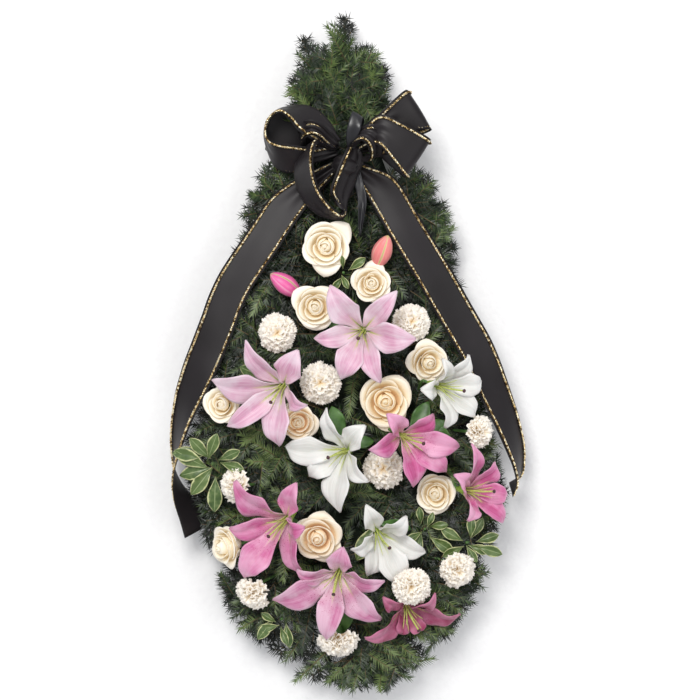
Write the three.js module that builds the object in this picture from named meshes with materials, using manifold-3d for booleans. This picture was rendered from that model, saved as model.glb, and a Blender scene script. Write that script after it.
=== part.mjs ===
// A funeral wreath in the long drop shape, lying on its back with its top towards +Y and its flowers up.
// A backing board carries a pad of floral foam. Fir fronds are pushed into the foam and reach out past its edge.
// Lilies, roses, carnations and variegated sprigs stand over them, and a black bow with two tails closes the top.
// All sizes are in millimetres, and all angles in degrees.
import * as THREE from "three";
import { mergeVertices } from "three/addons/utils/BufferGeometryUtils.js";
import Module from "manifold-3d";

const wasm = await Module();
wasm.setup();

// Driving dimensions
const BOARD_THICK = 14;
const FOAM_TOP = 54;
const GAP = 0.3;
const FIR_LEVEL = 64;
const STEM_FOOT = 26;
const STEM_RADIUS = 2.6;
const NEEDLE_LENGTH = 20;
const NEEDLE_SLOPE = 56;
const WHORL_STEP = 66;
const WHORL_FIRST = 12;
const WHORL_BAND = 3;
const RIBBON_WIDTH = 54;
const RIBBON_THICK = 0.9;
const HOLE_RADIUS = 3.05;

const RAD = Math.PI / 180;
const point = (x, y, z) => new THREE.Vector3(x, y, z);
const mix = (a, b, t) => a.clone().lerp(b, t);
const polar = (radius, angle, z = 0) => point(radius * Math.cos(angle * RAD), radius * Math.sin(angle * RAD), z);

// One seeded draw between -1 and 1, so that every build is the same.
let seed = 5;
function draw() {
  seed = (seed * 16807) % 2147483647;
  return (seed / 2147483647) * 2 - 1;
}

// Solids

function closedGeometry(points, triangles) {
  let volume = 0;
  for (const [a, b, c] of triangles) {
    volume += points[a].dot(points[b].clone().cross(points[c]));
  }
  const facing = volume < 0 ? triangles.map(([a, b, c]) => [a, c, b]) : triangles;
  return new THREE.BufferGeometry().setFromPoints(points).setIndex(facing.flat());
}

function solidOf(geometry) {
  const bare = geometry.clone();
  bare.deleteAttribute("normal");
  bare.deleteAttribute("uv");
  const merged = mergeVertices(bare, 1e-4);
  return new wasm.Manifold(
    new wasm.Mesh({
      numProp: 3,
      vertProperties: new Float32Array(merged.attributes.position.array),
      triVerts: new Uint32Array(merged.index.array),
    }),
  );
}

const moved = (solid, matrix) => solid.transform(matrix.elements);
const SLIVER = 0.05;
// Joins solids into one, without slivers or loose scraps.
function fused(solids) {
  const whole = solids.reduce((joined, next) => joined.add(next)).simplify(SLIVER);
  const bodies = whole.decompose();
  return bodies.reduce((largest, body) => (body.volume() > largest.volume() ? body : largest));
}

function geometryOf(solid) {
  const mesh = solid.getMesh();
  const geometry = new THREE.BufferGeometry();
  geometry.setAttribute("position", new THREE.BufferAttribute(new Float32Array(mesh.vertProperties), 3));
  geometry.setIndex(new THREE.BufferAttribute(new Uint32Array(mesh.triVerts), 1));
  geometry.computeVertexNormals();
  return geometry;
}

// Joins rings of equal size into one closed skin. A ring of one point is a tip. The second half of each ring is split
// the other way, so that the two faces of a thin waved blade are alike and never cross. A face whose spine is given
// is drawn out to that point.
function skin(rings, spine = () => null) {
  const points = rings.flat();
  const triangles = [];
  const face = (corners, row, k, half) => {
    const tip = spine(row, k, half, corners.map((corner) => points[corner]));
    if (!tip) {
      triangles.push(corners);
      return;
    }
    const [a, b, c] = corners;
    const peak = points.push(tip) - 1;
    triangles.push([a, b, peak], [b, c, peak], [c, a, peak]);
  };
  let start = 0;
  rings.forEach((ring, row) => {
    const next = rings[row + 1];
    if (next) {
      const far = start + ring.length;
      const count = Math.max(ring.length, next.length);
      for (let k = 0; k < count; k++) {
        const j = (k + 1) % count;
        if (ring.length === 1) triangles.push([start, far + j, far + k]);
        else if (next.length === 1) triangles.push([start + k, start + j, far]);
        else if (k < count / 2) {
          face([start + k, start + j, far + k], row, k, 0);
          face([start + j, far + j, far + k], row, k, 1);
        } else {
          face([start + k, start + j, far + j], row, k, 0);
          face([start + k, far + j, far + k], row, k, 1);
        }
      }
    }
    start += ring.length;
  });
  const first = rings[0];
  const last = rings[rings.length - 1];
  const lastStart = start - last.length;
  for (let k = 1; k + 1 < first.length; k++) triangles.push([0, k + 1, k]);
  for (let k = 1; k + 1 < last.length; k++) triangles.push([lastStart, lastStart + k, lastStart + k + 1]);
  return solidOf(closedGeometry(points, triangles));
}

// A petal or leaf blade. A row is its left, middle and right points, with the way its face looks.
function blade(rows, thick) {
  return skin(
    rows.map((row) => {
      if (row.tip) return [row.tip];
      const rise = row.up.clone().multiplyScalar(thick / 2);
      return [row.left, row.middle.clone().add(rise), row.right, row.middle.clone().sub(rise)];
    }),
  );
}

// A ribbon. A row is its two edges and the way its face looks.
function ribbon(rows, thick = RIBBON_THICK) {
  return skin(
    rows.map(({ left, right, up }) => {
      const rise = up.clone().multiplyScalar(thick / 2);
      return [left.clone().add(rise), right.clone().add(rise), right.clone().sub(rise), left.clone().sub(rise)];
    }),
  );
}

// Sets a head that was made upright at the origin: turned on its axis, leant over, then put in its place.
function setting({ x, y, z, lean = 0, to = 0, turn = 0, size = 1 }) {
  const axis = point(-Math.sin(to * RAD), Math.cos(to * RAD), 0);
  const turned = new THREE.Quaternion().setFromAxisAngle(axis, lean * RAD);
  turned.multiply(new THREE.Quaternion().setFromAxisAngle(point(0, 0, 1), turn * RAD));
  return new THREE.Matrix4().compose(point(x, y, z), turned, point(size, size, size));
}

// Lily: six tepals from a narrow throat, with a pistil and six stamens

// x, y and z place the throat, and the flower looks along its lean, which points to the heading to. A tip is how far
// a tepal ends from the throat, across and up the wreath, with half of the tepal's width.
const LILIES = [
  {
    name: "lily_pink_1", x: 23, y: 31, z: 138, lean: 20, to: 230, foot: [18, 22],
    tips: [[-50, 65, 22], [-75, -14, 15], [-33, -74, 20], [24, -80, 15], [77, -14, 22], [48, 56, 15]],
  },
  {
    name: "lily_pink_2", x: -95, y: -50, z: 138, lean: 40, to: 231, foot: [-100, -48],
    tips: [[-108, 5, 23], [-59, 62, 17], [21, 51, 20], [33, -35, 14], [-8, -93, 22], [-87, -65, 15]],
  },
  {
    name: "lily_pink_3", x: 80, y: -124, z: 139, lean: 37, to: -25, foot: [92, -130],
    tips: [[-20, 33, 15], [53, 30, 18], [89, -18, 18], [72, -57, 17], [20, -78, 20], [-44, -23, 18]],
  },
  {
    name: "lily_pink_4", x: 176, y: -205, z: 131, lean: 46, to: -4, foot: [148, -164], neck: 3,
    tips: [[46, 42, 18], [68, -10, 16], [58, -50, 16], [8, -46, 15], [-17, 25, 14], [14, 70, 12]],
  },
  {
    name: "lily_pink_5", x: -89, y: -247, z: 134, lean: 50, to: 220, foot: [-94, -238],
    tips: [[-81, 54, 24], [8, 51, 16], [25, -14, 18], [17, -87, 17], [-66, -90, 24], [-92, -20, 16]],
  },
  {
    name: "lily_pink_6", x: -13, y: -326, z: 136, lean: 40, to: 250, foot: [-6, -332],
    tips: [[-99, -45, 23], [-65, -2, 15], [5, 38, 20], [66, -17, 16], [62, -74, 23], [-21, -107, 18]],
  },
  {
    name: "lily_pink_7", x: 86, y: -376, z: 108, lean: 55, to: 292, foot: [56, -350],
    tips: [[-59, -54, 20], [-32, 6, 13], [46, 16, 14], [86, -24, 18], [26, -42, 16], [-8, -52, 14]],
  },
  {
    name: "lily_white_1", x: -2, y: -146, z: 138, lean: 38, to: 200, foot: [-4, -136],
    tips: [[-93, 5, 22], [-60, -42, 17], [-12, -93, 23], [27, -48, 15], [26, 38, 18], [-35, 62, 14]],
  },
  {
    name: "lily_white_2", x: 44, y: -266, z: 136, lean: 32, to: 300, foot: [44, -256],
    tips: [[-39, -27, 16], [-12, -71, 17], [39, -80, 21], [75, -36, 16], [45, 23, 18], [-15, 38, 14]],
  },
  {
    name: "lily_white_3", x: 133, y: -50, z: 134, lean: 46, to: -16, foot: [106, -62],
    tips: [[69, 6, 20], [54, 44, 15], [10, 40, 12], [-20, -8, 17], [15, -65, 17], [63, -47, 18]],
  },
];
const THROAT_DEPTH = 16;
const TIP_AXIAL = 34;
const TEPAL_ROWS = [0, 0.28, 0.62];
const TEPAL_THICK = 1.8;
const TEPAL_FOOT = 1.8;
const TEPAL_CUP = 3.5;
const TEPAL_CROWD = 0.48;
const OUTER_DROP = 5;
const TIP_LOW = -6;
const TIP_HIGH = 44;

const heading = ({ lean = 0, to = 0 }) => polar(Math.sin(lean * RAD), to, Math.cos(lean * RAD));

function tepal(throat, axis, [dx, dy, half], drop) {
  const rise = THREE.MathUtils.clamp((TIP_AXIAL - dx * axis.x - dy * axis.y) / axis.z, TIP_LOW, TIP_HIGH);
  const tip = point(dx, dy, rise);
  const height = tip.dot(axis);
  const out = tip.clone().addScaledVector(axis, -height);
  const reach = out.length();
  out.normalize();
  const side = axis.clone().cross(out);
  const at = (radius, along) => throat.clone().addScaledVector(out, radius).addScaledVector(axis, along);
  const line = new THREE.CatmullRomCurve3([
    at(3, -THROAT_DEPTH),
    at(8, 0),
    at(8 + 0.24 * reach, 0.45 * height + 6 - drop),
    at(0.66 * reach, 0.85 * height + 8 - drop),
    at(reach, height - drop),
  ]);
  const rows = TEPAL_ROWS.map((s) => {
    const middle = line.getPointAt(s);
    const along = line.getTangentAt(s);
    const up = axis.clone().multiplyScalar(along.dot(out)).addScaledVector(out, -along.dot(axis));
    const radius = middle.clone().sub(throat).dot(out);
    const wide = Math.min(TEPAL_CROWD * radius, TEPAL_FOOT + half * Math.sin(Math.PI * s ** 0.8) ** 0.9);
    const edge = middle.clone().addScaledVector(up, TEPAL_CUP * Math.sin(Math.PI * s));
    return {
      middle,
      up,
      left: edge.clone().addScaledVector(side, -wide),
      right: edge.clone().addScaledVector(side, wide),
    };
  });
  return blade([...rows, { tip: line.getPointAt(1) }], TEPAL_THICK);
}

// The heart of a lily: a green cup with the pistil at its middle and a filament drawn out of every second face.
const HEART_RINGS = [
  [3.4, -18],
  [8, 0],
  [1.8, -2],
];
const PISTIL_TIP = point(4, 2, 52);
const FILAMENT_REACH = 17;
const FILAMENT_HEIGHT = 38;
const FILAMENT_TURN = 20;

function lilyHeart() {
  const rings = HEART_RINGS.map(([r, z]) => Array.from({ length: 6 }, (_, k) => polar(r, 60 * k, z)));
  const filament = (row, k, half) =>
    row === 1 && half === 0 ? polar(FILAMENT_REACH, 60 * k + FILAMENT_TURN, FILAMENT_HEIGHT) : null;
  return skin([...rings, [PISTIL_TIP]], filament);
}
const HEART = lilyHeart();

function lilyHead(lily) {
  const throat = point(lily.x, lily.y, lily.z);
  const axis = heading(lily);
  const tepals = lily.tips.map((tip, k) => tepal(throat, axis, tip, OUTER_DROP * (k % 2)));
  return fused([moved(HEART, setting(lily)), ...tepals]);
}

// Rose: tiers of cupped petals, raised from one skin. Each tier is a rim and the groove inside it.

const ROSE_SIDES = 12;
const ROSE_RINGS = [
  { r: 4, z: -5, petals: 0, turn: 0 },
  { r: 22, z: 6, petals: 4, turn: 0 },
  { r: 36, z: 25, petals: 4, turn: 0 },
  { r: 27, z: 17, petals: 4, turn: 10 },
  { r: 26.5, z: 36, petals: 3, turn: 20 },
  { r: 16, z: 26, petals: 3, turn: 30 },
  { r: 16, z: 42, petals: 3, turn: 40 },
  { r: 8.5, z: 32, petals: 2, turn: 50 },
  { r: 6, z: 42, petals: 2, turn: 70 },
];

const ROSE_HEART = point(0, 0, 36);
const PETAL_TUCK = 0.86;
const PETAL_SWELL = 0.2;
const PETAL_MEAN = 0.95;
const PETAL_LIFT = 10;

// A petal's rim starts tucked in, swells, and ends a little proud of the next one.
function roseHead() {
  const rings = ROSE_RINGS.map(({ r, z, petals, turn }) =>
    Array.from({ length: ROSE_SIDES }, (_, k) => {
      const angle = turn + (360 * k) / ROSE_SIDES;
      if (!petals) return polar(r, angle, z);
      const share = ((k * petals) / ROSE_SIDES) % 1;
      const swell = PETAL_TUCK + PETAL_SWELL * Math.sin(Math.PI * (0.15 + 0.75 * share));
      return polar(r * swell, angle, z + PETAL_LIFT * (swell - PETAL_MEAN));
    }),
  );
  return skin([...rings, [ROSE_HEART]]);
}

// Carnation: a calyx under three ruffled tiers, raised from one skin

const CARNATION_RINGS = [
  { r: 4, z: -6, ruffle: 0 },
  { r: 6, z: 10, ruffle: 0 },
  { r: 30, z: 17, ruffle: 2.6 },
  { r: 21, z: 21, ruffle: 1 },
  { r: 25, z: 29, ruffle: 2.6 },
  { r: 13, z: 29, ruffle: 1 },
  { r: 16, z: 37, ruffle: 2.4 },
  { r: 4.5, z: 33, ruffle: 0.6 },
];
const CARNATION_FOLDS = 11;
const CARNATION_TWIST = 0.35;
const CARNATION_HEART = point(0, 0, 37);

function carnationHead() {
  const rings = CARNATION_RINGS.map(({ r, z, ruffle }, i) =>
    Array.from({ length: CARNATION_FOLDS }, (_, k) => {
      const wave = k % 2 ? 1 : -1;
      return polar(r + ruffle * wave, (360 * (k + CARNATION_TWIST * i)) / CARNATION_FOLDS, z - ruffle * wave);
    }),
  );
  return skin([...rings, [CARNATION_HEART]]);
}

// Lily bud: a closed spindle with three soft ridges

const BUD_RINGS = [
  [3, -4],
  [9, 6],
  [15.5, 28],
  [12, 50],
  [5, 62],
];
const BUD_TIP = point(0, 0, 66);
const BUD_SIDES = 9;
const BUD_RIDGE = 0.06;

function budHead() {
  const ridged = (r, k) => r * (k % 3 ? 1 - BUD_RIDGE : 1 + BUD_RIDGE);
  const rings = BUD_RINGS.map(([r, z]) =>
    Array.from({ length: BUD_SIDES }, (_, k) => polar(ridged(r, k), (360 * k) / BUD_SIDES, z)),
  );
  return skin([...rings, [BUD_TIP]]);
}

// Where the heads are. x, y and z place the foot of the head, and the head leans by lean towards to.

const HEADS = [
  { kind: "rose", name: "rose_1", x: -32, y: 159, z: 84, lean: 6, to: 250 },
  { kind: "rose", name: "rose_2", x: 36, y: 101, z: 84, turn: 40, size: 0.8 },
  { kind: "rose", name: "rose_3", x: -48, y: 66, z: 84, turn: 15, size: 0.94 },
  { kind: "rose", name: "rose_4", x: 117, y: -14, z: 79, lean: 14, to: -30, turn: 60, size: 0.84 },
  { kind: "rose", name: "rose_5", x: 57, y: -75, z: 80, turn: 30, size: 1.1 },
  {
    kind: "rose", name: "rose_6", x: -184, y: -80, z: 86,
    lean: 10, to: 160, turn: 50, size: 0.78, foot: [-142, -82],
  },
  { kind: "rose", name: "rose_7", x: -73, y: -106, z: 84, turn: 75, size: 0.78 },
  {
    kind: "rose", name: "rose_8", x: 134, y: -212, z: 72,
    lean: 6, to: 200, turn: 12, size: 0.84, foot: [131, -211],
  },
  { kind: "rose", name: "rose_9", x: -43, y: -275, z: 84, lean: 8, to: 250, turn: 33, size: 0.98 },
  {
    kind: "rose", name: "rose_10", x: -166, y: -288, z: 92,
    lean: 55, to: 190, turn: 20, size: 0.85, foot: [-124, -270],
  },
  { kind: "carnation", name: "carnation_1", x: -104, y: 28, z: 86 },
  {
    kind: "carnation", name: "carnation_2", x: 93, y: 42, z: 88,
    lean: 14, to: 40, turn: 9, size: 0.96, foot: [84, 36],
  },
  { kind: "carnation", name: "carnation_3", x: -40, y: -46, z: 86, turn: 5, size: 1.06 },
  {
    kind: "carnation", name: "carnation_4", x: 184, y: -119, z: 104,
    lean: 50, to: 0, turn: 12, size: 0.9, foot: [144, -116],
  },
  { kind: "carnation", name: "carnation_5", x: 54, y: -174, z: 86, turn: 17, size: 1.04 },
  {
    kind: "carnation", name: "carnation_6", x: -156, y: -199, z: 102,
    lean: 45, to: 180, size: 0.92, foot: [-136, -200],
  },
  {
    kind: "carnation", name: "carnation_7", x: -134, y: -352, z: 100,
    lean: 40, to: 225, turn: 8, size: 0.92, foot: [-90, -328],
  },
  {
    kind: "carnation", name: "carnation_8", x: 160, y: -321, z: 94,
    lean: 20, to: -40, turn: 3, size: 0.95, foot: [108, -304],
  },
  {
    kind: "carnation", name: "carnation_9", x: 94, y: -343, z: 133,
    lean: 10, to: 270, turn: 14, size: 0.98, foot: [84, -330],
  },
  {
    kind: "carnation", name: "carnation_10", x: -14, y: -416, z: 92,
    lean: 60, to: 270, turn: 6, size: 1.08, foot: [-12, -384],
  },
  { kind: "bud", name: "lily_bud_1", x: -71, y: 84, z: 85, lean: 77, to: 144, size: 0.85, foot: [-84, 92] },
  {
    kind: "bud", name: "lily_bud_2", x: 43, y: 127, z: 88,
    lean: 60, to: 69, turn: 20, size: 0.85, foot: [46, 136],
  },
];
const HEAD_SHAPES = { rose: roseHead(), carnation: carnationHead(), bud: budHead() };

// Sprigs of variegated leaves. A leaf is its root's height over the sprig's foot, its heading, its length and its rise.

const SPRIGS = [
  {
    name: "sprig_left", x: -200, y: -168, z: 98, foot: [-142, -168],
    leaves: [
      [178, 50, 8], [208, 52, 0], [244, 40, -6], [272, 44, -10],
      [108, 48, 22], [146, 48, 24], [20, 36, 30], [66, 38, 36],
    ],
  },
  {
    name: "sprig_top", x: -6, y: 118, z: 96, foot: [-6, 118],
    leaves: [[40, 36, 12], [238, 30, 0], [285, 32, 14], [100, 22, 30]],
  },
  {
    name: "sprig_right", x: 178, y: -286, z: 82, foot: [120, -278],
    leaves: [[20, 46, 0], [75, 34, 2], [110, 34, 8], [330, 40, 0], [160, 30, 16]],
  },
  {
    name: "sprig_middle", x: 116, y: -266, z: 84, foot: [112, -262],
    leaves: [[20, 34, 14], [320, 38, 6], [260, 36, 10], [200, 32, 16], [90, 26, 10]],
  },
  {
    name: "sprig_foot", x: -98, y: -400, z: 80, foot: [-60, -354],
    leaves: [[200, 44, 0], [235, 42, 2], [262, 38, 6], [295, 34, 12], [160, 30, 12]],
  },
];
const LEAF_SHARE = 0.42;
const LEAF_THICK = 1.5;
const LEAF_FOLD = 2.5;

function leaf(root, toward, length, rise) {
  const along = polar(1, toward);
  const side = point(-along.y, along.x, 0);
  const width = length * LEAF_SHARE;
  const at = (s, lift) =>
    root
      .clone()
      .addScaledVector(along, length * s)
      .add(point(0, 0, rise * s + lift));
  const row = (s, share, lift) => {
    const middle = at(s, lift);
    const edge = at(s, lift + LEAF_FOLD * share);
    return {
      middle,
      left: edge.clone().addScaledVector(side, (-width * share) / 2),
      right: edge.clone().addScaledVector(side, (width * share) / 2),
      up: point(0, 0, 1),
    };
  };
  return blade([row(0, 0.1, 0), row(0.42, 0.58, 3), row(0.76, 1, 2), { tip: at(1, -2) }], LEAF_THICK);
}

// Bow and tails

// A tail is the path of its inner edge. At roll 0 it lies flat, and at 90 it stands on its outer edge.
const TAILS = [
  {
    name: "ribbon_tail_left",
    hand: -1,
    stations: [
      [-6.4, 276, 98, 10], [-36, 244, 96, 9], [-68, 206, 95, 8], [-108, 146, 98, 6], [-149, 83, 97, 4],
      [-173, 22, 97, 6], [-199, -39, 98, 16], [-219, -79, 100, 34], [-236, -114, 101, 54], [-251, -156, 102, 74],
      [-260, -190, 101, 92], [-259, -222, 97, 110], [-251, -252, 90, 126], [-244, -280, 82, 138],
    ],
  },
  {
    name: "ribbon_tail_right",
    hand: 1,
    stations: [
      [-1.6, 276, 98, 10], [14, 253, 96, 9], [31, 228, 95, 8], [65, 169, 100, 6], [103, 106, 98, 5],
      [142, 38, 98, 6], [170, -10, 98, 12], [198, -68, 100, 28], [222, -116, 102, 46], [240, -156, 103, 66],
      [251, -186, 101, 86], [251, -204, 97, 104], [247, -218, 92, 118],
    ],
  },
];

const TAIL_GATHER = 0.3;
const TAIL_OPENING = 4.5;
const TAIL_STEPS = 16;

function tailRows({ hand, stations }) {
  const places = new THREE.CatmullRomCurve3(stations.map(([x, y, z]) => point(x, y, z)));
  return Array.from({ length: TAIL_STEPS + 1 }, (_, k) => {
    const t = k / TAIL_STEPS;
    const station = t * (stations.length - 1);
    const low = Math.min(stations.length - 2, Math.floor(station));
    const roll = THREE.MathUtils.lerp(stations[low][3], stations[low + 1][3], station - low) * RAD;
    const inner = places.getPoint(t);
    const along = places.getTangent(t);
    const flat = point(along.y * -hand, along.x * hand, 0).normalize();
    const across = flat.multiplyScalar(Math.cos(roll)).add(point(0, 0, -Math.sin(roll)));
    across.addScaledVector(along, -across.dot(along)).normalize();
    const outer = inner.clone().addScaledVector(across, RIBBON_WIDTH * Math.min(1, TAIL_GATHER + TAIL_OPENING * t));
    const up = across.clone().cross(along).normalize();
    return { left: inner, right: outer, up };
  });
}

const tails = TAILS.map((tail) => ({ name: tail.name, rows: tailRows(tail) }));

// The bow's loops leave its knot. A loop is its heading, reach, the lift of its far end, its height, and how far it is
// rolled on its own line: at 0 it opens sideways, and at 90 it lies as a ring.
const KNOT = point(-4, 276, 128);
const LOOPS = [
  { toward: 158, reach: 104, lift: 10, height: 50, roll: 52, flare: 1 },
  { toward: 196, reach: 84, lift: -6, height: 34, roll: 18, flare: 0.95 },
  { toward: 10, reach: 118, lift: 4, height: 34, roll: -12, flare: 1 },
  { toward: 40, reach: 108, lift: 12, height: 34, roll: -30, flare: 1 },
  { toward: 262, reach: 82, lift: 5, height: 41, roll: 64, flare: 0.9 },
  { toward: 122, reach: 46, lift: 24, height: 26, roll: 8, flare: 0.5 },
  { toward: 78, reach: 44, lift: 24, height: 26, roll: -8, flare: 0.5 },
];

const LOOP_START = 10;
const LOOP_BULGE = 0.62;
const LOOP_GATHER = 0.22;

function loopRows({ toward, reach, lift, height, roll, flare }) {
  const out = polar(1, toward);
  const side = point(-out.y, out.x, 0);
  const rise = point(0, 0, Math.cos(roll * RAD)).addScaledVector(side, Math.sin(roll * RAD));
  const across = out.clone().cross(rise);
  const steps = reach > 60 ? 8 : 6;
  return Array.from({ length: steps + 1 }, (_, k) => {
    const turn = 2 * Math.PI * (k / steps);
    const far = (1 - Math.cos(turn)) / 2;
    const bulge = Math.sin(turn) * Math.sqrt(far) * LOOP_BULGE;
    const middle = KNOT.clone()
      .addScaledVector(out, LOOP_START + (reach - LOOP_START) * far)
      .addScaledVector(rise, height * bulge + 2 * Math.cos(turn / 2))
      .add(point(0, 0, lift * far));
    const half = (RIBBON_WIDTH / 2) * flare * (LOOP_GATHER + (1 - LOOP_GATHER) * Math.min(1, far * 1.8));
    const along = out
      .clone()
      .multiplyScalar(Math.sin(turn) * reach)
      .addScaledVector(rise, height * Math.cos(turn));
    return {
      left: middle.clone().addScaledVector(across, -half),
      right: middle.clone().addScaledVector(across, half),
      up: across.clone().cross(along).normalize(),
    };
  });
}

// Base: a board, and a pad of foam on it with a plain hole for every stem

// The drop outline of the whole wreath, as half widths at a height on its long axis.
const DROP = [
  [470, 20], [400, 60], [300, 105], [200, 140], [100, 172], [0, 200],
  [-100, 216], [-200, 222], [-300, 205], [-380, 160], [-440, 95], [-470, 30],
];
const DROP_CENTRE = -60;
const BOARD_SHARE = [0.76, 0.86];
const FOAM_SHARE = [0.7, 0.82];

function slab([across, along], low, high) {
  const right = DROP.map(([y, half]) => [half * across, DROP_CENTRE + (y - DROP_CENTRE) * along]);
  const left = right.map(([x, y]) => [-x, y]).reverse();
  const shape = new THREE.Shape([...right, ...left].map(([x, y]) => new THREE.Vector2(x, y)));
  return solidOf(new THREE.ExtrudeGeometry(shape, { depth: high - low, bevelEnabled: false }).translate(0, 0, low));
}

function post(x, y, low, high, radius) {
  const square = new THREE.CylinderGeometry(radius, radius, high - low, 4).rotateX(90 * RAD).rotateZ(45 * RAD);
  return solidOf(square.translate(x, y, (low + high) / 2));
}

// A stem leaves its head along the head's own line, bends over to its foot, and goes straight down into the foam.
const NECK = 16;
const BEND_OVER = 4;
const feet = [];

function stem(head, low = 0) {
  const [x, y] = head.foot ?? [head.x, head.y];
  feet.push(point(x, y, STEM_FOOT));
  const down = point(0, 0, -1);
  const back = heading(head).negate();
  const top = point(head.x, head.y, head.z).addScaledVector(back, low);
  const neck = top.clone().addScaledVector(back, head.neck ?? NECK);
  const joints = [
    [top, back],
    [neck, back.clone().add(down).normalize()],
    [point(x, y, FOAM_TOP + BEND_OVER), down],
    [point(x, y, STEM_FOOT), down],
  ];
  return skin(
    joints.map(([place, way]) => {
      const turned = new THREE.Quaternion().setFromUnitVectors(down, way);
      return [45, 135, 225, 315].map((angle) => polar(STEM_RADIUS, angle).applyQuaternion(turned).add(place));
    }),
  );
}

const nodes = new Map();
for (const lily of LILIES) nodes.set(lily.name, fused([lilyHead(lily), stem(lily, THROAT_DEPTH)]));
for (const head of HEADS) {
  const flower = moved(HEAD_SHAPES[head.kind], setting(head));
  nodes.set(head.name, fused([flower, stem(head)]));
}
for (const sprig of SPRIGS) {
  const crown = point(sprig.x, sprig.y, sprig.z);
  const leaves = sprig.leaves.map(([toward, length, rise]) => leaf(crown, toward, length, rise));
  nodes.set(sprig.name, fused([...leaves, stem(sprig)]));
}
for (const { name, rows } of tails) nodes.set(name, ribbon(rows));

// The bow, on the pick that holds it in the foam
const KNOT_RADIUS = 19;
const knotShape = new THREE.SphereGeometry(KNOT_RADIUS, 8, 5).scale(1.15, 1.15, 0.85);
const knot = solidOf(knotShape.translate(KNOT.x, KNOT.y, KNOT.z));
nodes.set("ribbon_bow", fused([knot, ...LOOPS.map((loop) => ribbon(loopRows(loop)))]));

const PICK_TOP = KNOT.z - 15.7;
nodes.set("bow_pick", post(KNOT.x, KNOT.y, STEM_FOOT, PICK_TOP, STEM_RADIUS));
feet.push(point(KNOT.x, KNOT.y, STEM_FOOT));

// A shiny tie is wound once round the pick, and one end trails down the wreath.
const TIE_LEVEL = 102;
const TIE_COLLAR = 8;
const TIE_HALF = 7;
const collar = post(KNOT.x, KNOT.y, TIE_LEVEL, TIE_LEVEL + TIE_COLLAR, TIE_HALF);
const trail = [
  [-1, 272, 106], [8, 250, 105], [14, 226, 104], [20, 200, 103], [23, 180, 102], [20, 164, 101],
].map(([x, y, z]) => point(x, y, z));
const trailRows = trail.map((place, i) => {
  const ahead = trail[Math.min(i + 1, trail.length - 1)];
  const along = ahead.clone().sub(trail[Math.max(i - 1, 0)]).normalize();
  const across = point(-along.y, along.x, 0.3).normalize();
  return {
    left: place.clone().addScaledVector(across, -TIE_HALF),
    right: place.clone().addScaledVector(across, TIE_HALF),
    up: across.clone().cross(along).normalize(),
  };
});
const pickRoom = post(KNOT.x, KNOT.y, FIR_LEVEL, TIE_LEVEL + TIE_COLLAR, HOLE_RADIUS);
nodes.set("satin_tie", fused([collar, ribbon(trailRows)]).subtract(pickRoom));

// Fir

// A frond runs from its butt in the foam to a tip past the edge. Its side twigs come in pairs: share, length, angle.
const FRONDS = [
  { name: "fir_top_middle", butt: [0, 330], tip: [-2, 500], twigs: [[0.3, 74, 30], [0.55, 52, 32], [0.78, 32, 34]] },
  { name: "fir_top_left", butt: [-12, 300], tip: [-64, 468], twigs: [[0.38, 60, 34], [0.68, 36, 34]] },
  { name: "fir_top_right", butt: [12, 296], tip: [58, 426], twigs: [[0.38, 56, 36], [0.7, 34, 34]] },
  { name: "fir_left_1", butt: [-18, 214], tip: [-144, 240], twigs: [[0.4, 62, 42], [0.72, 38, 40]] },
  { name: "fir_right_1", butt: [18, 214], tip: [144, 222], twigs: [[0.4, 62, 42], [0.72, 38, 40]] },
  { name: "fir_left_2", butt: [-18, 130], tip: [-168, 132], twigs: [[0.42, 66, 42], [0.72, 40, 40]] },
  { name: "fir_right_2", butt: [18, 146], tip: [156, 126], twigs: [[0.42, 66, 42], [0.72, 40, 40]] },
  { name: "fir_left_3", butt: [-14, 4], tip: [-192, 22], twigs: [[0.38, 66, 42], [0.66, 50, 40]] },
  { name: "fir_right_3", butt: [14, -10], tip: [190, 12], twigs: [[0.38, 66, 42], [0.66, 50, 40]] },
  { name: "fir_left_4", butt: [-14, -92], tip: [-206, -106], twigs: [[0.4, 74, 42], [0.68, 54, 40]] },
  { name: "fir_right_4", butt: [14, -112], tip: [208, -106], twigs: [[0.4, 74, 42], [0.68, 54, 40]] },
  { name: "fir_left_5", butt: [-14, -200], tip: [-220, -240], twigs: [[0.4, 80, 42], [0.7, 58, 40]] },
  { name: "fir_right_5", butt: [14, -210], tip: [226, -240], twigs: [[0.4, 80, 42], [0.7, 58, 40]] },
  { name: "fir_left_6", butt: [-24, -300], tip: [-168, -390], twigs: [[0.42, 80, 44], [0.72, 58, 40]] },
  { name: "fir_right_6", butt: [24, -300], tip: [184, -384], twigs: [[0.42, 84, 44], [0.72, 60, 40]] },
  { name: "fir_foot", butt: [12, -376], tip: [20, -500], twigs: [[0.25, 112, 48], [0.6, 76, 42]] },
];
const FIR_DROOP = 34;
const MAIN_RADIUS = 2.4;
const SIDE_RADIUS = 1.7;
const CLEARANCE = 0.8;
const NEEDLE_ROOM = 2.6;
const NEEDLE_SPREAD = 22;
const TWIST = 34;

const others = () => [...nodes.values()].map((solid) => ({ solid, box: solid.boundingBox() }));
const apart = (a, b) => [0, 1, 2].some((k) => a.min[k] > b.max[k] || b.min[k] > a.max[k]);

function clear(solid, around) {
  const box = solid.boundingBox();
  return around.every((other) => apart(box, other.box) || solid.intersect(other.solid).isEmpty());
}

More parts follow.
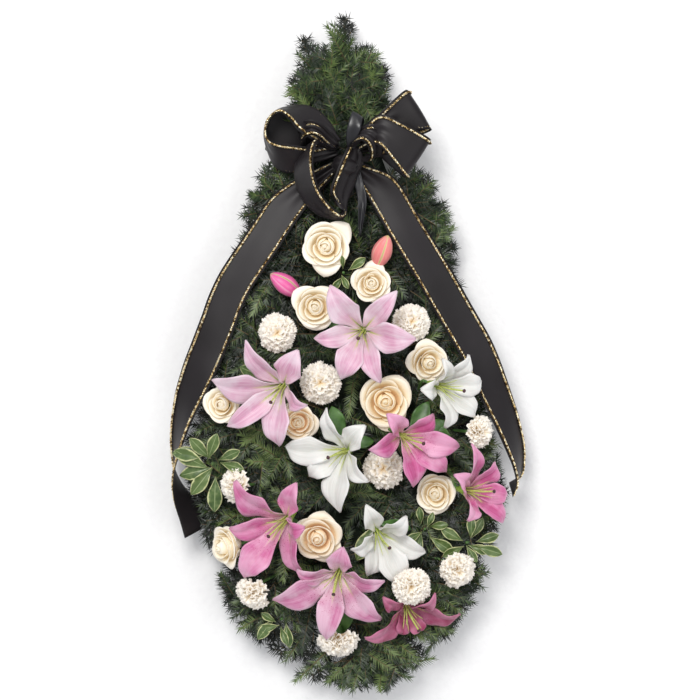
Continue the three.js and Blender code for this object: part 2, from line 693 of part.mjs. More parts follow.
// A twig is a three-sided taper along its curve, with a whorl of six needles drawn out of each short band of it.
function twig(curve, radius, around) {
  const length = curve.getLength();
  const whorls = Math.max(1, Math.floor((length - WHORL_FIRST) / WHORL_STEP) + 1);
  const shares = [0];
  for (let k = 0; k < whorls; k++) {
    const start = (WHORL_FIRST + ((length - WHORL_FIRST - 6) * (k + 1)) / whorls) / length;
    shares.push(start, start + WHORL_BAND / length);
  }
  const rings = shares.map((s, i) => {
    const along = curve.getTangentAt(s);
    const side = point(0, 0, 1).cross(along).normalize();
    const up = along.clone().cross(side);
    const girth = radius * (1 - 0.5 * s);
    const twist = TWIST * Math.ceil(i / 2);
    return [0, 120, 240].map((a) =>
      curve
        .getPointAt(s)
        .addScaledVector(side, girth * Math.cos((a + twist) * RAD))
        .addScaledVector(up, girth * Math.sin((a + twist) * RAD)),
    );
  });
  const needle = (row, k, half, corners) => {
    if (row % 2 === 0) return null;
    const middle = corners[0].clone().add(corners[1]).add(corners[2]).divideScalar(3);
    const along = curve.getTangentAt(shares[row]);
    const out = middle.clone().sub(curve.getPointAt(shares[row]));
    out.addScaledVector(along, -out.dot(along)).normalize();
    out.applyAxisAngle(along, (half ? NEEDLE_SPREAD : -NEEDLE_SPREAD) * RAD);
    const slope = (NEEDLE_SLOPE + 8 * draw() - 16 * shares[row]) * RAD;
    const way = along.clone().multiplyScalar(Math.cos(slope)).addScaledVector(out, Math.sin(slope));
    const tip = middle.clone().addScaledVector(way, NEEDLE_LENGTH);
    const wide = thickened(middle, tip.clone().addScaledVector(way, 2));
    return clear(wide, around) ? tip : null;
  };
  return skin([...rings, [curve.getPointAt(1)]], around ? needle : undefined);
}

// The room that a needle needs round it
function thickened(from, to) {
  const along = to.clone().sub(from).normalize();
  const side = point(0, 0, 1).cross(along).normalize();
  const up = along.clone().cross(side);
  const ring = [90, 210, 330].map((a) =>
    from
      .clone()
      .addScaledVector(side, NEEDLE_ROOM * Math.cos(a * RAD))
      .addScaledVector(up, NEEDLE_ROOM * Math.sin(a * RAD)),
  );
  return skin([ring, [to]]);
}

function mainCurve({ butt, tip }, bend) {
  const from = point(butt[0], butt[1], FIR_LEVEL);
  const to = point(tip[0], tip[1], FIR_LEVEL - FIR_DROOP);
  const out = to.clone().sub(from).setZ(0).normalize();
  const side = point(-out.y, out.x, 0);
  return new THREE.CatmullRomCurve3([
    from,
    mix(from, to, 0.3).setZ(FIR_LEVEL + 2).addScaledVector(side, bend),
    mix(from, to, 0.6).setZ(FIR_LEVEL - FIR_DROOP * 0.04).addScaledVector(side, bend * 0.6),
    mix(from, to, 0.82).setZ(FIR_LEVEL - FIR_DROOP * 0.22),
    to,
  ]);
}

function sideCurve(main, [share, length, angle], hand, shorter) {
  const root = main.getPointAt(share);
  const along = main.getTangentAt(share);
  const way = along.clone().applyAxisAngle(point(0, 0, 1), hand * angle * RAD);
  way.z = along.z - 0.02;
  const reach = length * shorter;
  return new THREE.CatmullRomCurve3([
    root,
    root.clone().addScaledVector(way, reach * 0.5).add(point(0, 0, 1)),
    root.clone().addScaledVector(way, reach).add(point(0, 0, -reach * 0.05)),
  ]);
}

const firstClear = (choices, around, radius) =>
  choices.find((curve) => clear(twig(curve, radius + CLEARANCE), around));
const BENDS = [0, 8, -8, 14, -14, 20, -20, 26, -26];
const SHORTER = [1, 0.8, 0.6, 0.42];

const block = slab(FOAM_SHARE, BOARD_THICK + GAP, FOAM_TOP);
const board = slab(BOARD_SHARE, 0, BOARD_THICK);

for (const frond of FRONDS) {
  const around = [...others(), ...[block, board].map((solid) => ({ solid, box: solid.boundingBox() }))];
  const main = firstClear(BENDS.map((bend) => mainCurve(frond, bend)), around, MAIN_RADIUS);
  if (!main) throw new Error(`${frond.name} has no clear way out`);
  const grown = frond.twigs.flatMap((side) =>
    [1, -1].map((hand) => {
      const choices = SHORTER.map((shorter) => sideCurve(main, side, hand, shorter));
      return firstClear(choices, around, SIDE_RADIUS);
    }),
  );
  const sides = grown.filter(Boolean).map((curve) => twig(curve, SIDE_RADIUS, around));
  const [x, y] = frond.butt;
  feet.push(point(x, y, STEM_FOOT));
  const root = post(x, y, STEM_FOOT, FIR_LEVEL + 1, STEM_RADIUS);
  nodes.set(frond.name, fused([root, twig(main, MAIN_RADIUS, around), ...sides]));
}

// The foam, with its holes
const holes = feet.map(({ x, y }) => post(x, y, STEM_FOOT - GAP, FOAM_TOP + 1, HOLE_RADIUS));
nodes.set("floral_foam", holes.reduce((pad, hole) => pad.subtract(hole), block));
nodes.set("backing_board", board);

// Every node with its finish: colour, roughness
const FINISHES = {
  lily_pink: ["#e08fb4", 0.6],
  lily_white: ["#f3f1ea", 0.6],
  lily_bud: ["#df6f8f", 0.55],
  rose: ["#f1e7d2", 0.65],
  carnation: ["#f2ede2", 0.75],
  sprig: ["#6e8f5a", 0.6],
  fir: ["#24402a", 0.7],
  ribbon: ["#2c282b", 0.4],
  satin_tie: ["#151316", 0.25],
  bow_pick: ["#7a6a45", 0.8],
  floral_foam: ["#2f5a3a", 0.95],
  backing_board: ["#e6e6e2", 0.9],
};

// The wreath's box stands with its lowest corners on the floor, centred on the origin.
const boxes = [...nodes.values()].map((solid) => solid.boundingBox());
const lowest = (k) => Math.min(...boxes.map((box) => box.min[k]));
const highest = (k) => Math.max(...boxes.map((box) => box.max[k]));
const middleOf = (k) => (lowest(k) + highest(k)) / 2;
const wreath = new THREE.Group();
wreath.position.set(-middleOf(0), -middleOf(1), 0);
for (const [name, solid] of nodes) {
  const [color, roughness] = FINISHES[Object.keys(FINISHES).find((start) => name.startsWith(start))];
  const mesh = new THREE.Mesh(geometryOf(solid), new THREE.MeshStandardMaterial({ color, roughness, metalness: 0 }));
  mesh.name = name;
  wreath.add(mesh);
}

export default wreath;
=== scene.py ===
# %% [markdown]
# # A funeral wreath
# The wreath lies on its back and the camera looks straight down on it. A drop-shaped board carries a pad
# of wet foam, and everything else is pushed into the foam: fir fronds, lilies, roses, carnations, buds,
# variegated sprigs and a bow with two long tails. The solids of the frame say where each piece is. This
# lesson gives each of them the finer shape and the finish of the real thing.

# %% Load the frame
import math
import random

import bmesh
import bpy
import numpy as np
from mathutils import Matrix, Quaternion, Vector, kdtree


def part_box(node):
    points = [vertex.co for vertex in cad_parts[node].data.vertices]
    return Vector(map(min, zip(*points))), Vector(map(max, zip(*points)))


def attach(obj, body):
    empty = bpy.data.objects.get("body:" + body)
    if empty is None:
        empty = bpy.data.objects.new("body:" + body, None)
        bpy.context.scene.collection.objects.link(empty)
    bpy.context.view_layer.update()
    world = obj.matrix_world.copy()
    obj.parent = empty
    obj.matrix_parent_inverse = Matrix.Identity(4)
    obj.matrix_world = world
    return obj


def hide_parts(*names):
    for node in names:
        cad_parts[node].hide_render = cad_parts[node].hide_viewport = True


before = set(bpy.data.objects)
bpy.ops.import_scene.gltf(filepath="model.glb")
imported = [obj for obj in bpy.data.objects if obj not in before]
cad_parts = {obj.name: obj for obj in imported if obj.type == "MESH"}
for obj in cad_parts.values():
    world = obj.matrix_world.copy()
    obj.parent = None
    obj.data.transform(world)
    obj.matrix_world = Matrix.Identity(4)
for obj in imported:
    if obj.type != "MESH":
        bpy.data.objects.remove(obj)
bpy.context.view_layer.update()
rng = random.Random(11)

# %% [markdown]
# ## One measure for the whole wreath
# A florist thinks in millimetres, and Blender works in metres. Every table below is in millimetres, with
# the origin near the middle of the picture, and one matrix carries a finished mesh to the frame. The
# board gives the shift.

# %% Millimetres to the frame
MM = 0.001
BOARD_MIDDLE_Y = -8.4

board_low, board_high = (Vector(corner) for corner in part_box("backing_board"))
board_middle = (board_low + board_high) / 2
SHIFT = Vector((board_middle.x, board_middle.y - BOARD_MIDDLE_Y * MM, 0))
TO_FRAME = Matrix.Translation(SHIFT) @ Matrix.Scale(MM, 4)
print("shift:", tuple(SHIFT))

# %% [markdown]
# ## Camera, floor and light
# The picture was taken from straight in front with a long lens, so the camera stands four metres above
# the wreath. A large soft light at the upper left gives the broad highlights, a weaker one fills from the
# right, and a pale sky keeps the shadows open. The floor is nearly white.

# %% Camera
VIEW_WIDTH = 1.05
VIEW_HEIGHT = 4.0
FLOWER_LEVEL = 0.08
VIEW_MIDDLE = Vector((3.75, 2.25, 0)) * MM

camera_data = bpy.data.cameras.new("camera")
camera_data.sensor_width = 36
camera_data.lens = 36 * VIEW_HEIGHT / VIEW_WIDTH
camera = bpy.data.objects.new("camera", camera_data)
camera.location = SHIFT + VIEW_MIDDLE + Vector((0, 0, FLOWER_LEVEL + VIEW_HEIGHT))
bpy.context.scene.collection.objects.link(camera)
bpy.context.scene.camera = camera
print("lens:", round(camera_data.lens, 1))

# %% Lights
bpy.context.scene.view_settings.view_transform = "Standard"

def soft_light(name, place, size, energy, colour=(1, 1, 1)):
    """An area light that looks at the middle of the wreath."""
    data = bpy.data.lights.new(name, "AREA")
    data.shape, data.size = "DISK", size
    data.energy, data.color = energy, colour
    lamp = bpy.data.objects.new(name, data)
    lamp.location = place
    lamp.rotation_euler = (-Vector(place)).to_track_quat("-Z", "Y").to_euler()
    bpy.context.scene.collection.objects.link(lamp)

soft_light("key_light", (-0.5, 1.2, 3.0), 1.2, 60, (1, 0.985, 0.96))
soft_light("fill_light", (1.5, -0.6, 2.6), 1.8, 12)
world = bpy.data.worlds.new("sky")
world.use_nodes = True
world.node_tree.nodes["Background"].inputs["Color"].default_value = (0.96, 0.97, 1, 1)
world.node_tree.nodes["Background"].inputs["Strength"].default_value = 0.66
bpy.context.scene.world = world

# %% [markdown]
# ## Tools for finishes
# A finish is a small tree of nodes. These helpers add one node, a ramp of colours, a mix and a sum in one
# line each, so that each finish below reads as a recipe.

# %% Node helpers
def finish(name, **sockets):
    """A new material, with values set on its shader. Returns the material, its tree and its shader."""
    material = bpy.data.materials.new(name)
    material.use_nodes = True
    shader = material.node_tree.nodes["Principled BSDF"]
    for socket, value in sockets.items():
        shader.inputs[socket.replace("_", " ")].default_value = value
    return material, material.node_tree, shader

def add(tree, kind, sockets=(), **settings):
    """Adds a node. A socket takes a value, or a link where it is given another node's output."""
    made = tree.nodes.new("ShaderNode" + kind)
    for name, value in settings.items():
        setattr(made, name, value)
    for key, value in dict(sockets).items():
        if isinstance(value, bpy.types.NodeSocket):
            tree.links.new(value, made.inputs[key])
        else:
            made.inputs[key].default_value = value
    return made

def ramp(tree, factor, stops):
    """A ramp through colours, each with its place from 0 to 1."""
    made = add(tree, "ValToRGB", {"Fac": factor})
    elements = made.color_ramp.elements
    for element, (place, colour) in zip(elements, (stops[0], stops[-1])):
        element.position = place
        element.color = (*colour, 1)
    for place, colour in stops[1:-1]:
        elements.new(place).color = (*colour, 1)
    return made.outputs["Color"]

def blended(tree, factor, a, b, blend="MIX"):
    """Two colours mixed by a factor."""
    made = add(tree, "Mix", data_type="RGBA", blend_type=blend)
    for socket, value in ((0, factor), (6, a), (7, b)):
        if isinstance(value, bpy.types.NodeSocket):
            tree.links.new(value, made.inputs[socket])
        else:
            made.inputs[socket].default_value = value if socket == 0 else (*value, 1)
    return made.outputs[2]

def maths(tree, operation, a, b=0.0):
    """One sum on two numbers or sockets."""
    return add(tree, "Math", {0: a, 1: b}, operation=operation).outputs[0]

def uv_of(tree):
    """The piece's own map: across from 0 to 1, and along from 0 to 1."""
    split = add(tree, "SeparateXYZ", {0: add(tree, "UVMap", uv_map="UVMap").outputs[0]})
    return split.outputs[0], split.outputs[1]

def off_middle(tree, across):
    """How far a point lies from the middle line: 0 on it, and 1 at the edge."""
    return maths(tree, "ABSOLUTE", maths(tree, "MULTIPLY", maths(tree, "SUBTRACT", across, 0.5), 2.0))

def stretched(tree, across, along, times_across, times_along):
    """The map drawn out, so that a pattern changes so many times across and along."""
    x, y = maths(tree, "MULTIPLY", across, times_across), maths(tree, "MULTIPLY", along, times_along)
    return add(tree, "CombineXYZ", {0: x, 1: y}).outputs[0]

def fine_lines(tree, across, along, times_across, times_along, detail=2.0):
    """Noise drawn out into lines, for veins and threads."""
    where = stretched(tree, across, along, times_across, times_along)
    return add(tree, "TexNoise", {"Vector": where, "Scale": 1.0, "Detail": detail}).outputs["Fac"]

def mask(tree, factor, low, high):
    """Nought below the low place, and one above the high one."""
    return ramp(tree, factor, [(low, (0, 0, 0)), (high, (1, 1, 1))])

def tone_of(tree):
    """The number that each petal, leaf or needle carries."""
    return add(tree, "Attribute", attribute_name="tone").outputs["Fac"]

def mottle(tree, scale, detail=3):
    """Soft cloudy noise that stays with the piece."""
    where = add(tree, "TexCoord").outputs["Object"]
    return add(tree, "TexNoise", {"Vector": where, "Scale": scale, "Detail": detail}).outputs["Fac"]

def relief(tree, shader, height, distance, strength=0.5):
    """Raises the surface by a height from 0 to 1."""
    made = add(tree, "Bump", {"Height": height, "Distance": distance, "Strength": strength})
    tree.links.new(made.outputs[0], shader.inputs["Normal"])

def paint(tree, shader, colour):
    tree.links.new(colour, shader.inputs["Base Color"])

# %% Floor
floor_finish, floor_tree, floor_shader = finish("floor_paint", Roughness=0.9)
floor_grain = mottle(floor_tree, 110)
FLOOR_TONES = [(0.3, (0.94, 0.935, 0.94)), (0.7, (0.97, 0.97, 0.97))]
paint(floor_tree, floor_shader, ramp(floor_tree, floor_grain, FLOOR_TONES))
relief(floor_tree, floor_shader, floor_grain, 0.002)
floor_bm = bmesh.new()
bmesh.ops.create_grid(floor_bm, x_segments=1, y_segments=1, size=6)
floor_mesh = bpy.data.meshes.new("floor")
floor_bm.to_mesh(floor_mesh)
floor_bm.free()
floor = bpy.data.objects.new("floor", floor_mesh)
floor_mesh.materials.append(floor_finish)
bpy.context.scene.collection.objects.link(floor)

# %% [markdown]
# ## Tools for shapes
# Petals, leaves and ribbons are all thin sheets, so one tool makes them: a grid whose corners are moved
# by a rule, then given its thickness. The grid brings a map with it, which the finishes read. Stems,
# filaments and cords are the same grid rolled into a tube and welded. A rail is the smooth line that a
# sheet or a tube follows.

# %% Shape helpers
WELD = 1e-4

def rail(points, steps):
    """A smooth curve through the points, as steps + 1 places at equal distances. Extra columns go along."""
    knots = np.array([tuple(p) for p in points], float)
    ends = np.vstack([2 * knots[0] - knots[1], knots, 2 * knots[-1] - knots[-2]])
    s = np.linspace(0, len(knots) - 1, 24 * (len(knots) - 1) + 1)
    k = np.minimum(s.astype(int), len(knots) - 2)
    t = (s - k)[:, None]
    a, b, c, d = (ends[k + i] for i in range(4))
    fine = 0.5 * (2 * b + (c - a) * t + (2 * a - 5 * b + 4 * c - d) * t**2 + (3 * b - a - 3 * c + d) * t**3)
    run = np.concatenate([[0], np.cumsum(np.linalg.norm(np.diff(fine, axis=0), axis=1))])
    at = np.linspace(0, run[-1], steps + 1)
    return np.stack([np.interp(at, run, fine[:, i]) for i in range(fine.shape[1])], axis=1)

def unit(v):
    return v / np.maximum(np.linalg.norm(v, axis=-1, keepdims=True), 1e-9)

def new_bmesh():
    """An empty bmesh with the map and the tone that the finishes read."""
    bm = bmesh.new()
    bm.loops.layers.uv.new("UVMap")
    bm.verts.layers.float.new("tone")
    return bm

def room_inside(shell):
    """Signed room in a closed shell, summed about its own middle; negative when it is inside out."""
    corners = [[vert.co for vert in part.verts] for part in shell]
    middle = sum((ring[0] for ring in corners), Vector()) / len(corners)
    total = 0.0
    for ring in corners:
        ring = [corner - middle for corner in ring]
        for near, far in zip(ring[1:], ring[2:]):
            total += ring[0].dot(near.cross(far))
    return total

def surface(bm, across, along, place, wall=0.0, finish_index=0, tone=0.5):
    """A grid moved by place(u, v), with u from -1 to 1 across and v from 0 to 1 along, and then thickened."""
    made = bmesh.ops.create_grid(bm, x_segments=across, y_segments=along, size=0.5, calc_uvs=True)["verts"]
    layer = bm.verts.layers.float["tone"]
    for vert in made:
        vert.co = place(2 * vert.co.x, vert.co.y + 0.5)
        vert[layer] = tone
    faces = list({face for vert in made for face in vert.link_faces})
    for face in faces:
        face.smooth = True
        face.material_index = finish_index
    if wall:
        for part in faces + made:
            part.normal_update()
        walls = bmesh.ops.solidify(bm, geom=faces, thickness=wall)["geom"]
        shell = set(faces) | {part for part in walls if isinstance(part, bmesh.types.BMFace)}
        bmesh.ops.recalc_face_normals(bm, faces=list(shell))
        if room_inside(shell) < 0:
            bmesh.ops.reverse_faces(bm, faces=list(shell))
    return made

def tube(bm, line, radii, sides=6, finish_index=0, tone=0.5):
    """A tube along a line of places, closed where its radius is nought."""
    line = np.asarray(line, float)
    radii = np.broadcast_to(radii, len(line))
    along = unit(np.gradient(line, axis=0))
    side = np.zeros_like(along)
    guess = np.cross(along[0], (0.31, 0.52, 0.79))
    for i, way in enumerate(along):
        guess = unit(guess - way * guess.dot(way))
        side[i] = guess
    up = np.cross(along, side)
    steps = len(line) - 1

    def place(u, v):
        i = round(v * steps)
        turn = math.pi * (u + 1)
        return line[i] + radii[i] * (side[i] * math.cos(turn) + up[i] * math.sin(turn))

    made = surface(bm, sides, steps, place, 0, finish_index, tone)
    bmesh.ops.remove_doubles(bm, verts=made, dist=WELD)

def make_piece(bm, name, finishes):
    """Carries a finished bmesh to the frame and makes it an object."""
    bmesh.ops.transform(bm, matrix=TO_FRAME, verts=bm.verts)
    mesh = bpy.data.meshes.new(name)
    bm.to_mesh(mesh)
    bm.free()
    for material in finishes:
        mesh.materials.append(material)
    piece = bpy.data.objects.new(name, mesh)
    bpy.context.scene.collection.objects.link(piece)
    return piece

def stand_for(piece, node, slot):
    """The piece rides on the wreath's one body and takes the place of its node."""
    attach(piece, "root")
    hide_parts(node)

def polar(radius, angle, z=0.0):
    return np.array([radius * math.cos(math.radians(angle)), radius * math.sin(math.radians(angle)), z])

def heading(lean, to):
    """The way that a head looks: leant over from straight up, towards a heading."""
    return polar(math.sin(math.radians(lean)), to, math.cos(math.radians(lean)))

def setting(head):
    """Where a head goes that was made upright at the origin."""
    to = math.radians(head["to"])
    leant = Quaternion((-math.sin(to), math.cos(to), 0), math.radians(head["lean"])).to_matrix().to_4x4()
    turned = Matrix.Rotation(math.radians(head["turn"]), 4, "Z")
    return Matrix.Translation(head["at"]) @ leant @ turned @ Matrix.Scale(head["size"], 4)

# %% [markdown]
# ## Stems
# Every bloom stands on its own green stem, which leaves it along its own line, bends over and goes
# straight down into a hole in the foam. A rail through four places gives that line.

# %% Stem
STEM_FOOT = 26.5
STEM_RADIUS = 2.3
STEM_BEND = 58
NECK = 16

def stem(bm, head, finish_index, low=0.0):
    """A stem from the foot of a head to the foam."""
    back = -heading(head["lean"], head["to"])
    top = np.array(head["at"], float) + back * low
    neck = top + back * head.get("neck", NECK)
    x, y = head["foot"]
    line = rail([top, neck, (x, y, STEM_BEND), (x, y, STEM_FOOT)], 16)
    radii = np.full(17, STEM_RADIUS)
    radii[0] = radii[-1] = 0
    line[1] = line[0] * 0.9 + line[1] * 0.1
    line[-2] = line[-1] * 0.98 + line[-2] * 0.02
    tube(bm, line, radii, 6, finish_index, 0.3)

stem_finish, stem_tree, stem_shader = finish("green_stem", Roughness=0.5)
stem_grain = mottle(stem_tree, 140)
STEM_GREENS = [(0.3, (0.05, 0.13, 0.03)), (0.7, (0.12, 0.24, 0.06))]
paint(stem_tree, stem_shader, ramp(stem_tree, stem_grain, STEM_GREENS))
relief(stem_tree, stem_shader, stem_grain, 0.0004)

# %% [markdown]
# ## A plain finish
# Bark, wood, board, foam and the small parts of a flower need no drawing of their own. Two close colours
# clouded into each other, with a little relief, are enough for them.

# %% Plain finish
def plain_finish(name, dark, light, roughness, scale, bump=0.0003):
    """Two close colours clouded into each other, with a little relief."""
    material, tree, shader = finish(name, Roughness=roughness)
    grain = mottle(tree, scale, 4)
    paint(tree, shader, ramp(tree, grain, [(0.32, dark), (0.68, light)]))
    relief(tree, shader, grain, bump)
    return material

# %% [markdown]
# ## Leaves
# The leaves between the flowers are broad in the middle and wavy at the edge. Each is a grid on a short
# arched line. The variegated kind is grey-green with a cream edge, and its finish reads how far across
# the leaf a point is.

# %% A leaf
LEAF_SHARE = 0.43
LEAF_WIDTHS = [
    (0, 0.07), (0.08, 0.12), (0.2, 0.38), (0.38, 0.78), (0.55, 1.0),
    (0.7, 0.96), (0.84, 0.68), (0.94, 0.32), (1, 0.03)]
LEAF_ALONG = 14
LEAF_ACROSS = 8
LEAF_WALL = 0.5
leaf_places = []

def leaf(bm, root, to, length, rise, finish_index=0):
    """One leaf from the crown of its sprig."""
    way = polar(1, to)
    side = np.array((-way[1], way[0], 0))
    shares, widths = zip(*LEAF_WIDTHS)
    phase = rng.uniform(0, 6.3)
    fold = rng.uniform(1.5, 3.5)
    roll = rng.uniform(-0.35, 0.35)

    def place(u, v):
        half = length * LEAF_SHARE / 2 * np.interp(v, shares, widths)
        lift = 4.5 * math.sin(math.pi * v) - 2 * v + fold * u * u * math.sin(math.pi * v)
        wave = 1.6 * abs(u) ** 2 * math.sin(2 * math.pi * 2.2 * v + phase + (2 if u > 0 else 0))
        lift += wave + roll * u * half
        return np.array(root) + way * (length * v) + side * (u * half) + np.array((0, 0, rise * v + lift))

    surface(bm, LEAF_ACROSS, LEAF_ALONG, place, LEAF_WALL, finish_index, rng.random())
    leaf_places.extend(tuple(place(u, v)) for v in (0.3, 0.5, 0.7, 0.9) for u in (-0.5, 0.5))

# %% Leaf finishes
LEAF_GREENS = [(0.35, (0.04, 0.085, 0.018)), (0.55, (0.08, 0.14, 0.034)), (0.7, (0.15, 0.20, 0.075))]
leaf_finish, tree, shader = finish("leaf_variegated", Roughness=0.42, Coat_Weight=0.12)
side = off_middle(tree, uv_of(tree)[0])
clouds = mottle(tree, 120)
edge = maths(tree, "ADD", side, maths(tree, "MULTIPLY", maths(tree, "SUBTRACT", clouds, 0.5), 0.5))
greens = ramp(tree, clouds, LEAF_GREENS)
greens = blended(tree, maths(tree, "MULTIPLY", tone_of(tree), 0.5), greens, (0.13, 0.19, 0.05))
margin = mask(tree, edge, 0.8, 0.92)
rib = ramp(tree, side, [(0.03, (1, 1, 1)), (0.08, (0, 0, 0))])
colour = blended(tree, margin, greens, (0.58, 0.60, 0.30))
paint(tree, shader, blended(tree, maths(tree, "MULTIPLY", rib, 0.6), colour, (0.42, 0.5, 0.25)))
relief(tree, shader, mottle(tree, 260), 0.0005)
green_leaf_finish = plain_finish("leaf_green", (0.035, 0.10, 0.02), (0.10, 0.22, 0.05), 0.4, 70, 0.0005)

# %% [markdown]
# ## Lilies
# A lily has six tepals. The three inner ones are wide and the three outer ones narrow, and all leave a
# green throat, spread out and bend back at the tip. Their edges are ruffled and a groove runs down the
# middle. In the throat stand the filaments, with the anthers taken off as florists do, and the pistil
# with its dark stigma.

# %% Where the lilies are
LILIES = {
    "lily_pink_1": dict(at=(23, 31, 138), lean=20, to=230, foot=(18, 22), hue="pale", tips=[
        (-50, 65, 22), (-75, -14, 15), (-33, -74, 20), (24, -80, 15), (77, -14, 22), (48, 56, 15)]),
    "lily_pink_2": dict(at=(-95, -50, 138), lean=40, to=231, foot=(-100, -48), hue="pale", tips=[
        (-108, 5, 23), (-59, 62, 17), (21, 51, 20), (33, -35, 14), (-8, -93, 22), (-87, -65, 15)]),
    "lily_pink_3": dict(at=(80, -124, 139), lean=37, to=-25, foot=(92, -130), hue="hot", tips=[
        (-20, 33, 15), (53, 30, 18), (89, -18, 18), (72, -57, 17), (20, -78, 20), (-44, -23, 18)]),
    "lily_pink_4": dict(at=(176, -205, 131), lean=46, to=-4, foot=(148, -164), neck=3, hue="hot", tips=[
        (46, 42, 18), (68, -10, 16), (58, -50, 16), (8, -46, 15), (-17, 25, 14), (14, 70, 12)]),
    "lily_pink_5": dict(at=(-89, -247, 134), lean=50, to=220, foot=(-94, -238), hue="hot", tips=[
        (-81, 54, 24), (8, 51, 16), (25, -14, 18), (17, -87, 17), (-66, -90, 24), (-92, -20, 16)]),
    "lily_pink_6": dict(at=(-13, -326, 136), lean=40, to=250, foot=(-6, -332), hue="mid", tips=[
        (-99, -45, 23), (-65, -2, 15), (5, 38, 20), (66, -17, 16), (62, -74, 23), (-21, -107, 18)]),
    "lily_pink_7": dict(at=(86, -376, 108), lean=55, to=292, foot=(56, -350), hue="deep", tips=[
        (-59, -54, 20), (-32, 6, 13), (46, 16, 14), (86, -24, 18), (26, -42, 16), (-8, -52, 14)]),
    "lily_white_1": dict(at=(-2, -146, 138), lean=38, to=200, foot=(-4, -136), hue="white", tips=[
        (-93, 5, 22), (-60, -42, 17), (-12, -93, 23), (27, -48, 15), (26, 38, 18), (-35, 62, 14)]),
    "lily_white_2": dict(at=(44, -266, 136), lean=32, to=300, foot=(44, -256), hue="white", tips=[
        (-39, -27, 16), (-12, -71, 17), (39, -80, 21), (75, -36, 16), (45, 23, 18), (-15, 38, 14)]),
    "lily_white_3": dict(at=(133, -50, 134), lean=46, to=-16, foot=(106, -62), hue="white", tips=[
        (69, 6, 20), (54, 44, 15), (10, 40, 12), (-20, -8, 17), (15, -65, 17), (63, -47, 18)]),
}
THROAT_DEPTH = 16
TIP_AXIAL = 34
OUTER_DROP = 5
TEPAL_STEPS = 24
TEPAL_ACROSS = 12
TEPAL_WALL = 0.7
TEPAL_SWELL = 1.16
TEPAL_WIDTHS = [
    (0, 0.14), (0.08, 0.26), (0.2, 0.54), (0.34, 0.87), (0.46, 1.0), (0.58, 0.97),
    (0.7, 0.84), (0.82, 0.6), (0.91, 0.35), (0.97, 0.15), (1, 0.03)]
FILAMENTS = 6

# %% A tepal
def tepal(bm, lily, tip, order):
    """One tepal on its own rail, from inside the throat to its tip."""
    throat = np.array(lily["at"], float)
    axis = heading(lily["lean"], lily["to"])
    dx, dy, half = tip
    rise = min(44, max(-6, (TIP_AXIAL - dx * axis[0] - dy * axis[1]) / axis[2]))
    end = np.array((dx, dy, rise))
    height = end.dot(axis)
    out = end - axis * height
    reach = np.linalg.norm(out)
    out /= reach
    side = np.cross(axis, out)
    drop = OUTER_DROP * (order % 2)
    line = rail([throat + out * r + axis * a for r, a in (
        (3, -THROAT_DEPTH), (8, 0), (8 + 0.24 * reach, 0.45 * height + 6 - drop),
        (0.66 * reach, 0.85 * height + 8 - drop), (reach, height - drop))], TEPAL_STEPS)
    along = unit(np.gradient(line, axis=0))
    up = axis * (along @ out)[:, None] - out * (along @ axis)[:, None]
    radius = (line - throat) @ out
    waves = rng.uniform(2.1, 3.0)
    phases = rng.uniform(0, 6.3), rng.uniform(0, 6.3)
    twist = rng.uniform(-2.2, 2.2)
    ruffle = rng.uniform(1.8, 3.2) * (1.15 - 0.3 * (order % 2))
    shares, widths = zip(*TEPAL_WIDTHS)
    wide_at = np.interp(np.linspace(0, 1, TEPAL_STEPS + 1), shares, widths)

    def place(u, v):
        i = round(v * TEPAL_STEPS)
        wide = min((0.5 + 0.2 * v) * radius[i], half * TEPAL_SWELL * wide_at[i])
        lift = (7 - 5.5 * v) * math.sin(math.pi * v) ** 0.6 * u * u
        swell = math.sin(math.pi * v) ** 0.7
        lift -= 2.4 * (1 - abs(u)) ** 4 * swell + 3.0 * v * v * u**4
        phase = phases[0] if u < 0 else phases[1]
        lift += ruffle * swell * abs(u) ** 2.5 * math.sin(2 * math.pi * waves * v + phase)
        lift += twist * u * v
        lift -= 4.5 * max(0, (v - 0.82) / 0.18) ** 2
        return line[i] + side * (u * wide) + up[i] * lift

    surface(bm, TEPAL_ACROSS, TEPAL_STEPS, place, TEPAL_WALL, 0, rng.random())

def lily_heart(bm, lily):
    """The green cup, the six filaments and the pistil."""
    head = setting(dict(lily, turn=0, size=1))

    def seat(points):
        return [tuple(head @ Vector(point)) for point in points]

    cup = seat([(0, 0, -19), (0, 0, -18.5), (0, 0, -9), (0, 0, -1.5), (0, 0, -2.5)])
    tube(bm, cup, [0, 3.4, 5.6, 7.6, 0], 12, 1, 0.2)
    for k in range(FILAMENTS):
        spread = polar(17, 60 * k + 20 + rng.uniform(-9, 9), rng.uniform(36, 44))
        line = rail(seat([polar(4, 60 * k, -6), polar(6, 60 * k + 5, 14), spread]), 8)
        tube(bm, line, np.linspace(1.0, 0.45, 9) * ([1] * 8 + [0]), 5, 2, 0.6)
    line = rail(seat([(0, 0, -4), (1, 0, 24), (4, 2, 50)]), 9)
    tube(bm, line, np.linspace(1.7, 1.3, 10), 7, 2, 0.9)
    knob = seat([(4, 2, 48.5), (4, 2, 49.5), (4.1, 2, 51), (4.1, 2, 52.3), (4.1, 2, 52.8)])
    tube(bm, knob, [0, 2.3, 3.1, 2.4, 0], 9, 3)

# %% [markdown]
# ## Lily finishes
# Colour follows the tepal's own map. Along it, the throat is lime and fades to the flower's hue, and the
# tip is pale. Across it, the midrib is stronger and the edges are almost white. Fine veins run lengthways
# as stretched noise. The heavy pink lilies have small speckles towards the throat, from a cell pattern.

# %% Tepal finish
LIMES = [
    (0.0, (0.06, 0.13, 0.01)), (0.14, (0.20, 0.30, 0.02)), (0.26, (0.42, 0.50, 0.06)),
    (0.42, (0.68, 0.70, 0.28))]

